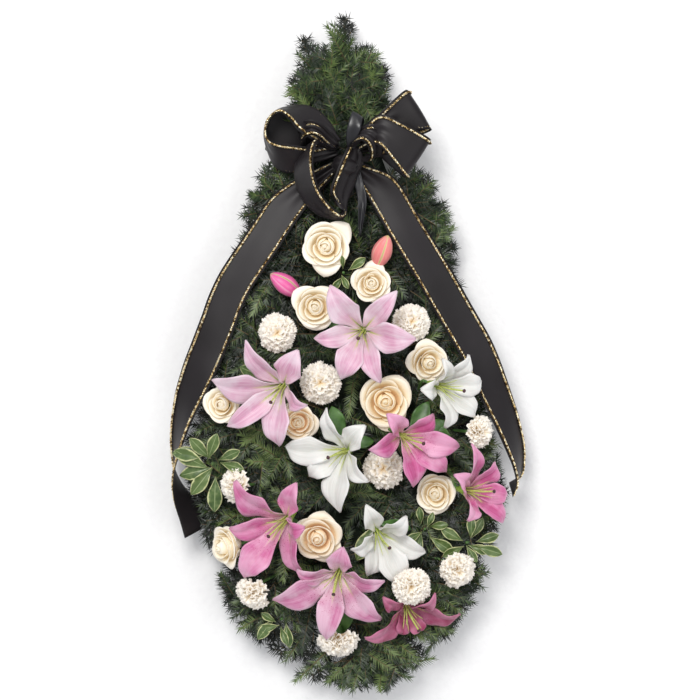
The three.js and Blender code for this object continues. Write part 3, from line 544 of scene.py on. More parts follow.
def tepal_finish(name, body, vein, edge, glow, speckle=None):
    material, tree, shader = finish(name, Roughness=0.42, Subsurface_Weight=0.06, Sheen_Weight=0.15)
    shader.inputs["Subsurface Radius"].default_value = (0.004, 0.002, 0.002)
    across, along = uv_of(tree)
    side = off_middle(tree, across)
    veins = fine_lines(tree, across, along, 34.0, 2.2)
    clouds = mottle(tree, 26)
    base = ramp(tree, side, [(0.0, vein), (0.07, vein), (0.2, body), (0.66, body), (1.0, edge)])
    pale = ramp(tree, along, [(0.2, glow), (0.48, body), (0.8, body), (1.0, edge)])
    colour = blended(tree, 0.5, base, pale)
    streak = maths(tree, "MULTIPLY", mask(tree, veins, 0.42, 0.64), 0.62)
    colour = blended(tree, streak, colour, vein)
    fade = maths(tree, "MULTIPLY", mask(tree, clouds, 0.42, 0.62), 0.62)
    colour = blended(tree, fade, colour, edge)
    if speckle:
        grid = stretched(tree, across, along, 14.0, 40.0)
        cells = add(tree, "TexVoronoi", {"Vector": grid, "Scale": 1.0, "Randomness": 1.0}).outputs["Distance"]
        zone = ramp(tree, along, [(0.12, (0, 0, 0)), (0.22, (1, 1, 1)), (0.5, (1, 1, 1)), (0.66, (0, 0, 0))])
        dots = maths(tree, "MULTIPLY", maths(tree, "LESS_THAN", cells, 0.2), zone)
        colour = blended(tree, dots, colour, speckle)
    narrow = maths(tree, "ADD", along, maths(tree, "MULTIPLY", side, 0.8))
    throat = ramp(tree, narrow, [(0.0, (1, 1, 1)), (0.26, (1, 1, 1)), (0.52, (0, 0, 0))])
    lime = ramp(tree, along, LIMES)
    paint(tree, shader, blended(tree, throat, colour, lime))
    relief(tree, shader, veins, 0.0006, 0.6)
    return material

TEPAL_FINISHES = {
    "pale": tepal_finish("tepal_pale_pink", (0.72, 0.46, 0.57), (0.56, 0.20, 0.36), (0.82, 0.71, 0.77),
                         (0.82, 0.70, 0.68)),
    "mid": tepal_finish("tepal_pink", (0.62, 0.26, 0.42), (0.46, 0.07, 0.22), (0.81, 0.60, 0.70),
                        (0.86, 0.80, 0.62), (0.36, 0.02, 0.12)),
    "hot": tepal_finish("tepal_strong_pink", (0.61, 0.14, 0.34), (0.45, 0.04, 0.17), (0.80, 0.46, 0.62),
                        (0.86, 0.76, 0.62), (0.34, 0.015, 0.10)),
    "deep": tepal_finish("tepal_deep_pink", (0.33, 0.022, 0.10), (0.22, 0.008, 0.055), (0.64, 0.24, 0.38),
                         (0.46, 0.24, 0.22), (0.2, 0.006, 0.05)),
    "white": tepal_finish("tepal_white", (0.75, 0.74, 0.71), (0.60, 0.595, 0.55), (0.80, 0.79, 0.77),
                          (0.68, 0.69, 0.54)),
}

cup_finish = plain_finish("throat_green", (0.18, 0.32, 0.03), (0.34, 0.48, 0.07), 0.45, 200)
filament_finish = plain_finish("filament_lime", (0.42, 0.50, 0.08), (0.66, 0.70, 0.24), 0.4, 300)
stigma_finish = plain_finish("stigma_purple", (0.03, 0.008, 0.014), (0.10, 0.03, 0.03), 0.35, 400)

# %% Lily leaves
LILY_LEAVES = {
    "lily_pink_3": [(22, 64, 4, 5), (62, 62, 0, 5)], "lily_pink_4": [(98, 54, 10, 5)],
    "lily_white_1": [(110, 58, 14, 5), (2, 44, 4, 5)], "lily_pink_6": [(268, 92, -4, 5), (236, 60, 2, 6)],
    "lily_pink_2": [(158, 66, 8, 6)], "lily_white_2": [(242, 64, 4, 6), (281, 70, 2, 6), (350, 52, 6, 5)],
    "lily_pink_5": [(300, 60, 2, 5)], "lily_pink_1": [(300, 56, 0, 5), (150, 60, 4, 5)],
}
LILY_LEAF_LEVEL = 88

# %% Make the lilies
for name, lily in LILIES.items():
    bm = new_bmesh()
    for order, tip in enumerate(lily["tips"]):
        tepal(bm, lily, tip, order)
    lily_heart(bm, lily)
    stem(bm, lily, 4, THROAT_DEPTH)
    for to, length, rise, leaf_kind in LILY_LEAVES.get(name, ()):
        leaf(bm, (*lily["foot"], LILY_LEAF_LEVEL), to, length, rise, leaf_kind)
    bloom = make_piece(bm, name + "_bloom", [
        TEPAL_FINISHES[lily["hue"]], cup_finish, filament_finish, stigma_finish, stem_finish,
        green_leaf_finish, leaf_finish])
    stand_for(bloom, name, "lily_white" if "white" in name else "lily_pink")
print("lilies:", len(LILIES), "faces in the last:", len(bloom.data.polygons))

# %% [markdown]
# ## Roses
# An open rose is a spiral: each petal stands a golden angle round from the one before, further out and
# lower, and tucks one side under its neighbour. The inner petals are tight and upright, and the outer
# ones roll their rims outwards. The hearts are peach, because light goes through many petals there. A
# faint warm glow stands for the light that real petals pass on into the folds.

# %% Where the roses are
def head_at(x, y, z, lean=0, to=0, turn=0, size=1.0, foot=None, **more):
    return dict(at=(x, y, z), lean=lean, to=to, turn=turn, size=size, foot=foot or (x, y), **more)

ROSES = {
    "rose_1": head_at(-32, 159, 84, 6, 250),
    "rose_2": head_at(36, 101, 84, turn=40, size=0.8),
    "rose_3": head_at(-48, 66, 84, turn=15, size=0.94),
    "rose_4": head_at(117, -14, 79, 14, -30, 60, 0.84),
    "rose_5": head_at(57, -75, 80, turn=30, size=1.1, hue="golden"),
    "rose_6": head_at(-184, -80, 86, 10, 160, 50, 0.78, (-142, -82)),
    "rose_7": head_at(-73, -106, 84, turn=75, size=0.78, hue="peach"),
    "rose_8": head_at(134, -212, 72, 6, 200, 12, 0.84, (131, -211)),
    "rose_9": head_at(-43, -275, 84, 8, 250, 33, 0.98, hue="peach"),
    "rose_10": head_at(-166, -288, 92, 55, 190, 20, 0.85, (-124, -270)),
}
ROSE_PETALS = 17
ROSE_TIGHT = 6
GOLDEN_ANGLE = 137.5
ROSE_ACROSS = 14
ROSE_ALONG = 10
ROSE_WALL = 0.6

# %% A rose petal
def rose_petal(bm, head, order):
    """The first few petals are wound tightly round the heart, and the rest open more and more."""
    share = order / (ROSE_PETALS - 1)
    tight = order < ROSE_TIGHT
    turn = math.radians(order * GOLDEN_ANGLE + rng.uniform(-8, 8))
    open_share = max(0, order - ROSE_TIGHT) / (ROSE_PETALS - 1 - ROSE_TIGHT)
    rim = 0.8 + 1.9 * order if tight else 15.0 + 15 * min(1, 1.35 * open_share) ** 0.85
    crown = 45 - 0.9 * order if tight else 39 - 13 * open_share**1.3 + rng.uniform(-1.5, 1.5)
    low = 1.0 + 1.3 * order if tight else 9 + 8 * open_share
    foot = 8 - 7 * share
    half_angle = math.radians(125 - 4 * order if tight else 86 - 20 * share)
    lip = -0.6 if tight else 2.0 + 6.5 * open_share
    phase = rng.uniform(0, 6.3)
    hand = 1 if order % 2 else -1
    point = rng.uniform(0.02, 0.11) * open_share

    def place(u, v):
        cut = v * (1 - (0.06 + 0.2 * share) * abs(u) ** 2.8 + point * (1 - abs(u)) ** 2)
        angle = turn + u * half_angle * (0.42 + 0.58 * math.sin(math.pi * min(1, 0.12 + 0.6 * v)))
        curl = max(0, (cut - 0.72) / 0.28)
        if tight:
            radius = low + (rim - low) * min(1, cut) + 4.5 * math.sin(math.pi * min(1, cut))
        else:
            radius = low + (rim - low) * math.sin(min(1, cut) * math.pi / 2) ** 0.8
        radius += lip * curl**1.7 * (1 + 0.25 * math.cos(2 * u + phase))
        radius += (0.6 if tight else 1.6) * u * hand
        radius += (0.2 + 1.7 * share) * math.sin(3.1 * u + phase) * v**2
        z = foot + (crown - foot) * cut**1.1 - (0.2 + 5.5 * open_share) * curl**2.2
        z += (0.3 + 1.4 * share) * math.sin(4.3 * u + phase) * v**3
        return head @ Vector((radius * math.cos(angle), radius * math.sin(angle), z))

    surface(bm, ROSE_ACROSS, ROSE_ALONG, place, ROSE_WALL * head.median_scale, 0, share)

def calyx(bm, head, finish_index, rings):
    """A closed body of turning on the axis of a head: its green cup, or the bud in the heart of a rose."""
    line = [tuple(head @ Vector((0, 0, z))) for r, z in rings]
    tube(bm, line, [r * head.median_scale for r, z in rings], 10, finish_index, 0.4)

# %% Rose finishes
PAINTED_GLOW_COLOUR = (1.0, 0.74, 0.44, 1)

def rose_finish(name, heart, body, rim):
    """Deep and inner is warm, partly the rose's own colour and partly painted light passed on through the
    petals, and the rim is pale, with faint veins along the petal.
    """
    # A faint painted glow stands for the light that the petals pass on into the folds.
    material, tree, shader = finish(name, Roughness=0.5, Sheen_Weight=0.1, Emission_Strength=0.07)
    shader.inputs["Emission Color"].default_value = PAINTED_GLOW_COLOUR
    across, along = uv_of(tree)
    veins = fine_lines(tree, across, along, 26.0, 2.0)
    inner = maths(tree, "MULTIPLY", tone_of(tree), 0.3)
    depth = maths(tree, "ADD", maths(tree, "MULTIPLY", along, 0.7), inner)
    # The warm heart is partly painted light that the petals pass on, and partly the rose's own colour.
    colour = ramp(tree, depth, [(0.2, heart), (0.66, body), (0.95, rim)])
    clouds = ramp(tree, mottle(tree, 40), [(0.35, (0.95, 0.93, 0.89)), (0.65, (1, 1, 1))])
    colour = blended(tree, 1.0, colour, clouds, "MULTIPLY")
    streak = maths(tree, "MULTIPLY", mask(tree, veins, 0.5, 0.7), 0.16)
    paint(tree, shader, blended(tree, streak, colour, body))
    relief(tree, shader, veins, 0.0004, 0.5)
    return material

ROSE_FINISHES = {
    "cream": rose_finish("rose_cream", (0.97, 0.80, 0.52), (0.97, 0.91, 0.76), (0.96, 0.92, 0.84)),
    "golden": rose_finish("rose_golden", (0.97, 0.66, 0.32), (0.97, 0.85, 0.62), (0.96, 0.90, 0.78)),
    "peach": rose_finish("rose_peach", (0.97, 0.62, 0.36), (0.97, 0.85, 0.66), (0.96, 0.90, 0.80)),
}

# %% Make the roses
ROSE_HEART = [(0, 14), (4, 16), (5.5, 28), (3.4, 38), (1.6, 42.6), (0, 43.6)]
ROSE_CALYX = [(0, -5.5), (3.2, -5), (8, -1), (10, 3), (0, 6)]
for name, rose in ROSES.items():
    bm = new_bmesh()
    head = setting(rose)
    for order in range(ROSE_PETALS):
        rose_petal(bm, head, order)
    calyx(bm, head, 0, ROSE_HEART)
    calyx(bm, head, 1, ROSE_CALYX)
    stem(bm, rose, 1)
    bloom = make_piece(bm, name + "_bloom", [ROSE_FINISHES[rose.get("hue", "cream")], stem_finish])
    stand_for(bloom, name, "rose")
print("roses:", len(ROSES), "faces in the last:", len(bloom.data.polygons))

# %% [markdown]
# ## Carnations
# A carnation is a ball of fan-shaped petals with toothed, ruffled edges, packed so tightly that they fold
# over each other. The petals start from one point low in the head and are spread by the golden angle from
# upright in the middle to level at the rim. The frills are a wave across the fan that grows towards its
# edge.

# %% Where the carnations are
CARNATIONS = {
    "carnation_1": head_at(-104, 28, 86),
    "carnation_2": head_at(93, 42, 88, 14, 40, 9, 0.96, (84, 36)),
    "carnation_3": head_at(-40, -46, 86, turn=5, size=1.06),
    "carnation_4": head_at(184, -119, 104, 50, 0, 12, 0.9, (144, -116)),
    "carnation_5": head_at(54, -174, 86, turn=17, size=1.04),
    "carnation_6": head_at(-156, -199, 102, 45, 180, 0, 0.92, (-136, -200)),
    "carnation_7": head_at(-134, -352, 100, 40, 225, 8, 0.92, (-90, -328)),
    "carnation_8": head_at(160, -321, 94, 20, -40, 3, 0.95, (108, -304)),
    "carnation_9": head_at(94, -343, 133, 10, 270, 14, 0.98, (84, -330)),
    "carnation_10": head_at(-14, -416, 92, 60, 270, 6, 1.08, (-12, -384)),
}
CARNATION_PETALS = 32
CARNATION_ACROSS = 17
CARNATION_ALONG = 6
CARNATION_WALL = 0.45

# %% A carnation petal
def carnation_petal(bm, head, order):
    """A fan on a rail that starts upright and bends out, with frills that grow towards its edge."""
    share = (order + 0.5) / CARNATION_PETALS
    turn = math.radians(order * GOLDEN_ANGLE + rng.uniform(-14, 14))
    start_tilt = math.radians(4 + 62 * share**0.8)
    bend = math.radians(rng.uniform(22, 48))
    length = 26.5 + 5 * share + rng.uniform(-2.0, 1.5)
    half = rng.uniform(12, 15)
    frills = rng.uniform(2.2, 3.2)
    phase = rng.uniform(0, 6.3)
    out = Vector((math.cos(turn), math.sin(turn), 0))
    side = Vector((-math.sin(turn), math.cos(turn), 0))
    places, ways = [Vector((0, 0, 10 - 4 * share))], []
    for k in range(CARNATION_ALONG + 1):
        tilt = start_tilt + bend * (k / CARNATION_ALONG) ** 1.5
        ways.append(out * math.sin(tilt) + Vector((0, 0, math.cos(tilt))))
        places.append(places[-1] + ways[-1] * (length / CARNATION_ALONG))

    def place(u, v):
        k = round(v * CARNATION_ALONG)
        way = ways[k]
        up = way.cross(side)
        tooth = 0.9 * math.cos(CARNATION_ACROSS * math.pi * (u + 1) / 2) if k == CARNATION_ALONG else 0
        wave = 3.9 * v**2 * math.sin(frills * math.pi * u + phase)
        wave += 0.6 * v**3 * math.sin(2.3 * frills * math.pi * u - phase)
        back = tooth - 3.2 * v * u * u
        return head @ (places[k] + way * back + side * (u * (1.4 + half * v**1.1)) + up * wave)

    surface(bm, CARNATION_ACROSS, CARNATION_ALONG, place, CARNATION_WALL * head.median_scale, 0, share)

# %% Carnation finish
CREAMS = [(0.35, (0.93, 0.80, 0.60)), (0.75, (0.92, 0.86, 0.76)), (1.0, (0.93, 0.89, 0.83))]
# A faint painted glow stands for the light that the petals pass on into the folds.
carnation_finish, tree, shader = finish(
    "carnation_cream", Roughness=0.6, Sheen_Weight=0.1, Emission_Strength=0.04)
shader.inputs["Emission Color"].default_value = PAINTED_GLOW_COLOUR
along = uv_of(tree)[1]
clouds = mottle(tree, 90)
depth = maths(tree, "ADD", along, maths(tree, "MULTIPLY", maths(tree, "SUBTRACT", clouds, 0.5), 0.3))
paint(tree, shader, ramp(tree, depth, CREAMS))
relief(tree, shader, mottle(tree, 420), 0.0004)

# %% Make the carnations
CARNATION_CALYX = [(0, -6.5), (3.6, -6), (6.2, 0), (6.4, 9), (0, 11)]
for name, carnation in CARNATIONS.items():
    bm = new_bmesh()
    head = setting(carnation)
    for order in range(CARNATION_PETALS):
        carnation_petal(bm, head, order)
    calyx(bm, head, 1, CARNATION_CALYX)
    stem(bm, carnation, 1)
    bloom = make_piece(bm, name + "_bloom", [carnation_finish, stem_finish])
    stand_for(bloom, name, "carnation")
print("carnations:", len(CARNATIONS), "faces in the last:", len(bloom.data.polygons))

# %% [markdown]
# ## Buds
# A closed lily bud is a spindle of three tepals folded together, with a green seam where two of them
# meet. It is a tube whose rings have three soft ridges, and the finish draws the seams from the map.

# %% Make the buds
BUDS = {
    "lily_bud_1": head_at(-71, 84, 85, 77, 144, 0, 0.85, (-84, 92), hue="pink"),
    "lily_bud_2": head_at(43, 127, 88, 60, 69, 20, 0.85, (46, 136), hue="coral"),
}
BUD_RINGS = [
    (0, -4.5), (2.4, -4), (5, -1), (9.6, 6), (14.4, 16), (17.4, 28),
    (16.9, 38), (13.8, 49), (9.6, 57), (5.4, 62.5), (2.2, 65), (0, 66)]
BUD_STEPS = 30
BUD_SIDES = 36

def bud_finish(name, seam, body, rim):
    material, tree, shader = finish(name, Roughness=0.38, Sheen_Weight=0.1)
    across, along = uv_of(tree)
    third = maths(tree, "FRACT", maths(tree, "MULTIPLY", across, 3.0))
    side = off_middle(tree, third)
    veins = fine_lines(tree, across, along, 60.0, 3.0)
    colour = ramp(tree, side, [(0.0, rim), (0.16, body), (0.78, body), (0.9, rim), (0.95, seam), (1.0, seam)])
    streak = maths(tree, "MULTIPLY", mask(tree, veins, 0.4, 0.68), 0.35)
    colour = blended(tree, streak, colour, rim)
    ends = ramp(tree, along, [(0.0, (1, 1, 1)), (0.2, (0, 0, 0)), (0.9, (0, 0, 0)), (1.0, (0.7, 0.7, 0.7))])
    paint(tree, shader, blended(tree, ends, colour, seam))
    relief(tree, shader, veins, 0.0005)
    return material

BUD_FINISHES = {
    "pink": bud_finish("bud_pink", (0.42, 0.50, 0.12), (0.78, 0.10, 0.34), (0.86, 0.34, 0.52)),
    "coral": bud_finish("bud_coral", (0.48, 0.56, 0.16), (0.82, 0.22, 0.22), (0.88, 0.42, 0.36)),
}
for name, bud in BUDS.items():
    bm = new_bmesh()
    head = setting(bud)
    profile = rail(BUD_RINGS, BUD_STEPS)

    def place(u, v):
        radius, z = profile[round(v * BUD_STEPS)]
        angle = math.pi * (u + 1)
        ridge = abs(math.sin(1.5 * angle))
        radius *= 0.9 + 0.13 * ridge**0.6
        return head @ Vector((max(0, radius) * math.cos(angle), max(0, radius) * math.sin(angle), z))

    made = surface(bm, BUD_SIDES, BUD_STEPS, place, 0, 0)
    bmesh.ops.remove_doubles(bm, verts=made, dist=WELD)
    stem(bm, bud, 1)
    piece = make_piece(bm, name + "_spindle", [BUD_FINISHES[bud["hue"]], stem_finish])
    stand_for(piece, name, "lily_bud")
print("buds:", len(BUDS))

# %% [markdown]
# ## Variegated sprigs
# A sprig is a whorl of variegated leaves on one short stem. A table gives the heading, length and rise of
# each leaf. Its root is set a little off the crown by a seeded draw, so that no sprig looks stamped.

# %% Make the sprigs
SPRIGS = {
    "sprig_left": ((-200, -168, 98), (-142, -168), [
        (165, 62, 6), (186, 64, 0), (207, 58, -4), (238, 56, 4), (262, 58, -6), (76, 50, 24), (128, 54, 14),
        (350, 50, 24), (22, 40, 34)]),
    "sprig_top": ((-6, 118, 96), (-6, 118), [
        (40, 40, 14), (238, 34, 4), (285, 32, 14), (100, 24, 24)]),
    "sprig_right": ((178, -286, 86), (120, -278), [
        (28, 50, 4), (64, 44, 8), (100, 40, 10), (330, 46, 2), (150, 44, 12), (352, 38, 4),
        (196, 40, 10), (300, 34, 2)]),
    "sprig_middle": ((116, -266, 86), (112, -262), [
        (16, 40, 14), (318, 46, 8), (262, 44, 12), (200, 36, 16), (96, 36, 14), (58, 34, 8)]),
    "sprig_foot": ((-98, -400, 84), (-60, -354), [
        (200, 46, 2), (238, 44, 4), (270, 40, 8), (302, 36, 12), (158, 34, 12)]),
}

for name, (crown, foot, leaves) in SPRIGS.items():
    bm = new_bmesh()
    for to, length, rise in leaves:
        start = polar(rng.uniform(4, 0.34 * length), to + rng.uniform(-70, 70), rng.uniform(-3, 5))
        leaf(bm, np.array(crown) + start, to + rng.uniform(-14, 14), length * rng.uniform(0.7, 0.95), rise)
    stem(bm, dict(at=crown, lean=0, to=0, foot=foot), 1)
    piece = make_piece(bm, name + "_leaves", [leaf_finish, stem_finish])
    stand_for(piece, name, "sprig")
print("sprigs:", len(SPRIGS), "leaves:", sum(len(s[2]) for s in SPRIGS.values()))

# %% [markdown]
# ## The ribbon
# The ribbon is black satin, cut 54 mm wide, with a gold cord a little in from each edge. Its bow and
# tails are laid as strips: a table gives both edges of a strip at a few stations, a rail smooths them,
# and a grid is stretched between them. Where the two edges come closer than the ribbon is wide, the cloth
# gathers in pleats. Each cord is two thin strands twisted round one line.

# %% Ribbon tools
RIBBON_WIDTH = 54
RIBBON_WALL = 0.45
CORD_INSET = 4.6
CORD_RADIUS = 1.05
CORD_PITCH = 8.0
CORD_STEP = 1.5
CORD_LIFT = 1.8
PLEAT_HEIGHT = 7.5

def strip(bm, rows, steps, pleats=3, across=14, width=RIBBON_WIDTH):
    """A strip between the two edges of its rows. Returns the edges, its normals and its length."""
    line = rail(rows, steps)
    left, right = line[:, :3], line[:, 3:]
    middle = (left + right) / 2
    half = (right - left) / 2
    along = unit(np.gradient(middle, axis=0))
    normal = unit(np.cross(along, half))
    spare = np.clip(1 - 2 * np.linalg.norm(half, axis=1) / width, 0, 1)

    def place(u, v):
        i = round(v * steps)
        pleat = PLEAT_HEIGHT * spare[i] * math.cos(pleats * math.pi * u) + 0.5 * math.sin(9 * v + 3 * u)
        return middle[i] + half[i] * u + normal[i] * pleat

    surface(bm, across, steps, place, RIBBON_WALL, 0)
    length = np.linalg.norm(np.diff(middle, axis=0), axis=1).sum()
    return left, right, normal, length

def gold_cord(bm, edge, other, face):
    """Two strands twisted round a line near an edge, on the side of the cloth that is its face."""
    line = edge + unit(other - edge) * CORD_INSET + face * CORD_LIFT
    run = np.concatenate([[0], np.cumsum(np.linalg.norm(np.diff(line, axis=0), axis=1))])
    steps = int(run[-1] / CORD_STEP)
    at = np.linspace(0, run[-1], steps + 1)

    def spaced(values):
        return np.stack([np.interp(at, run, values[:, i]) for i in range(3)], axis=1)

    path, up = spaced(line), unit(spaced(face))
    aside = unit(np.cross(np.gradient(path, axis=0), up))
    radii = np.full(steps + 1, CORD_RADIUS)
    radii[0] = radii[-1] = 0
    for strand in range(2):
        turn = (2 * math.pi * at / CORD_PITCH + math.pi * strand)[:, None]
        tube(bm, path + (up * np.cos(turn) + aside * np.sin(turn)) * CORD_RADIUS, radii, 4)

def places_across(left, right, rows, shares):
    """Points of a strip at some of its rows. The fir keeps clear under them."""
    return [tuple(left[i] * (1 - s) + right[i] * s) for i in rows for s in shares]

def new_cord_piece(bm, name):
    """The cords are trim on the cloth, so they ride with it."""
    piece = make_piece(bm, name, [gold_finish])
    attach(piece, "root")
    return piece

# %% Ribbon finishes
satin_finish, tree, shader = finish(
    "ribbon_satin", Roughness=0.42, Sheen_Weight=0.03, Sheen_Roughness=0.4, Specular_IOR_Level=0.22)
shader.inputs["Sheen Tint"].default_value = (0.72, 0.68, 0.72, 1)
across, along = uv_of(tree)
weave = fine_lines(tree, across, along, 90.0, 6.0, 1.0)
clouds = mottle(tree, 9)
cloth = ramp(tree, clouds, [(0.35, (0.012, 0.010, 0.011)), (0.65, (0.019, 0.016, 0.018))])
selvage = mask(tree, off_middle(tree, across), 0.93, 0.96)
paint(tree, shader, blended(tree, selvage, cloth, (0.010, 0.009, 0.010)))
relief(tree, shader, weave, 0.0002, 0.35)

gold_finish, tree, shader = finish("gold_thread", Metallic=1.0, Roughness=0.3)
# The noise paints bright glints and dark flecks along the cords: painted highlight and painted shade.
painted_glint_noise = mottle(tree, 260, 1)
GOLDS_AND_PAINTED_GLINTS = [(0.42, (0.12, 0.075, 0.03)), (0.5, (0.85, 0.62, 0.28)), (0.6, (1.0, 0.93, 0.70))]
paint(tree, shader, ramp(tree, painted_glint_noise, GOLDS_AND_PAINTED_GLINTS))

# %% Tails
TAILS = {
    "ribbon_tail_left": (-1, [
        (-6.4, 276, 98, 10), (-36, 244, 96, 9), (-68, 206, 95, 8), (-108, 146, 98, 6), (-149, 83, 97, 4),
        (-173, 22, 97, 6), (-199, -39, 98, 16), (-219, -79, 100, 34), (-236, -114, 101, 54),
        (-251, -156, 102, 74), (-260, -190, 101, 92), (-259, -222, 97, 110), (-251, -252, 90, 126),
        (-244, -280, 82, 138)]),
    "ribbon_tail_right": (1, [
        (-1.6, 276, 98, 10), (14, 253, 96, 9), (31, 228, 95, 8), (65, 169, 100, 6), (103, 106, 98, 5),
        (142, 38, 98, 6), (170, -10, 98, 12), (198, -68, 100, 28), (222, -116, 102, 42), (240, -156, 103, 56),
        (251, -186, 101, 72), (251, -204, 97, 86), (247, -218, 92, 98)]),
}
TAIL_GATHER = 0.3
TAIL_OPENS = 4.5
TAIL_FINE = 200
TAIL_STEPS = 110
TAIL_ROWS = 24

def tail_rows(hand, stations):
    """Both edges of a tail, from its inner edge and its roll: flat at 0, on its outer edge at 90."""
    line = rail([station[:3] for station in stations], TAIL_FINE)
    knots = np.linspace(0, 1, len(stations))
    places = np.array([station[:3] for station in stations], float)
    nearest = [np.argmin(np.linalg.norm(line - place, axis=1)) for place in places]
    rows = []
    for t in np.linspace(0, 1, TAIL_ROWS + 1):
        i = int(round(t * TAIL_FINE))
        roll = math.radians(np.interp(i, nearest, [station[3] for station in stations]))
        share = np.interp(i, nearest, knots)
        along = unit(line[min(i + 1, TAIL_FINE)] - line[max(i - 1, 0)])
        flat = unit(np.array((-hand * along[1], hand * along[0], 0)) * -1)
        flat = flat if flat[0] * hand > 0 else -flat
        across = flat * math.cos(roll) + np.array((0, 0, -math.sin(roll)))
        across = unit(across - along * across.dot(along))
        outer = line[i] + across * RIBBON_WIDTH * min(1, TAIL_GATHER + TAIL_OPENS * share)
        rows.append((*line[i], *outer))
    return rows

ribbon_places = []
for name, (hand, stations) in TAILS.items():
    bm, trim = new_bmesh(), new_bmesh()
    left, right, normal, length = strip(bm, tail_rows(hand, stations), TAIL_STEPS, pleats=2)
    face = normal * np.sign(normal[0][2])
    gold_cord(trim, left, right, face)
    gold_cord(trim, right, left, face)
    ribbon_places += places_across(left, right, range(0, TAIL_STEPS, 2), (0, 0.25, 0.5, 0.75, 1))
    tail = make_piece(bm, name + "_satin", [satin_finish])
    stand_for(tail, name, "ribbon")
    cord = new_cord_piece(trim, name + "_gold_cords")
    side = name.split("_")[-1]

# %% [markdown]
# ## The bow
# The bow is the same ribbon, wound to and fro into seven loops of different sizes and tied in the middle.
# Each loop has its own table of edges. The big ones lie to the left and right, and one hangs down in
# front. Where an edge of the real bow rolls away from the eye, its cord lies on the underside of the
# cloth.

# %% Make the bow
BOW = {
    "left_ring": [
        (-10, 316, 120, -22, 299, 128), (-25, 341, 126, -52, 313, 146), (-47, 361, 122, -73, 326, 158),
        (-71, 367, 118, -85, 341, 162), (-100, 362, 112, -100, 352, 162), (-119, 347, 106, -115, 341, 158),
        (-125, 323, 102, -119, 326, 152), (-119, 296, 99, -116, 314, 146), (-107, 275, 98, -101, 308, 142),
        (-86, 266, 98, -77, 305, 138), (-53, 278, 101, -49, 302, 130), (-14, 293, 104, -19, 308, 118)],
    "left_back": [
        (-22, 296, 88, -24, 322, 103), (-52, 288, 88, -50, 342, 104), (-80, 282, 88, -78, 360, 101),
        (-104, 284, 90, -100, 361, 101), (-123, 302, 94, -120, 347, 100)],
    "small_left": [
        (-70, 325, 112, -65, 302, 122), (-67, 335, 138, -64, 313, 148), (-55, 340, 148, -53, 317, 158),
        (-40, 335, 144, -43, 314, 152), (-26, 320, 128, -32, 305, 136), (-16, 305, 118, -22, 299, 122)],
    "hanging_left": [
        (-20, 302, 116, -32, 308, 128), (-53, 307, 122, -44, 311, 150), (-74, 290, 114, -50, 295, 158),
        (-80, 265, 110, -50, 269, 158), (-73, 238, 108, -43, 242, 154), (-56, 212, 106, -29, 220, 148),
        (-34, 199, 104, -10, 203, 144), (-8, 199, 104, -4, 208, 132), (-1, 217, 106, -17, 223, 130),
        (7, 235, 108, -25, 238, 140), (16, 260, 110, -14, 268, 146), (25, 284, 114, -2, 296, 142),
        (16, 302, 118, 4, 308, 126)],
    "small_right": [
        (7, 314, 114, 5, 299, 122), (20, 328, 134, 13, 307, 146), (34, 335, 142, 20, 310, 156),
        (49, 331, 142, 28, 304, 156), (58, 316, 132, 32, 293, 146), (58, 296, 116, 29, 284, 130),
        (40, 293, 108, 16, 287, 118)],
    "upper_right": [
        (13, 317, 120, 22, 302, 116), (47, 352, 134, 67, 317, 128), (83, 385, 140, 118, 329, 134),
        (88, 382, 128, 121, 326, 122), (58, 350, 112, 76, 311, 108), (19, 311, 110, 25, 299, 108)],
    "lower_right": [
        (13, 314, 124, 19, 299, 120), (46, 349, 148, 44, 305, 148), (82, 337, 152, 64, 284, 148),
        (118, 317, 146, 82, 260, 140), (121, 313, 130, 85, 257, 124), (85, 325, 120, 62, 277, 114),
        (49, 319, 114, 43, 293, 110), (19, 308, 112, 19, 299, 112)],
}
GOLD_SHOWS = {
    "left_ring": (-1, 1), "left_back": (-1, -1), "small_left": (-1, 1), "hanging_left": (-1, 1),
    "small_right": (-1, 1), "upper_right": (1, -1), "lower_right": (1, 1)}
TIE = {
    "tie_loop": [
        (-1, 302, 128, 11, 299, 128), (-2, 319, 138, 16, 316, 140), (1, 337, 142, 20, 331, 146),
        (7, 355, 138, 23, 346, 140), (10, 352, 130, 25, 341, 130), (8, 332, 124, 20, 326, 124),
        (4, 308, 120, 13, 305, 120)],
    "tie_streamer": [
        (4, 287, 106, 14, 290, 106), (8, 257, 105, 22, 257, 106), (13, 239, 104, 28, 233, 107),
        (16, 220, 104, 28, 215, 106), (16, 194, 103, 25, 200, 104), (17, 173, 101, 20, 173, 101)],
}
KNOT = (-4, 276, 124)
STATION_STEPS = 8
bow_bm, trim = new_bmesh(), new_bmesh()
bow_length = 0
for name, rows in BOW.items():
    left, right, normal, length = strip(bow_bm, rows, STATION_STEPS * (len(rows) - 1), pleats=3)
    middle = (left + right) / 2
    outward = (normal * (middle - middle.mean(axis=0))).sum()
    face = normal * np.sign(normal[0][2] if name == "left_back" else outward)
    gold_cord(trim, left, right, face * GOLD_SHOWS[name][0])
    gold_cord(trim, right, left, face * GOLD_SHOWS[name][1])
    bow_length += length
    ribbon_places += places_across(left, right, range(0, len(left), 3), (0, 0.33, 0.67, 1))

def knot_place(u, v):
    """The ribbon wound round the middle, with a few pleats along it."""
    turn, tilt = math.pi * (u + 1), math.pi * (v - 0.5)
    pleat = 1 + 0.07 * math.cos(9 * tilt + 2 * math.sin(turn))
    return (KNOT[0] + 19 * pleat * math.cos(tilt) * math.cos(turn), KNOT[1] + 17 * math.sin(tilt),
            KNOT[2] - 14 * pleat * math.cos(tilt) * math.sin(turn))

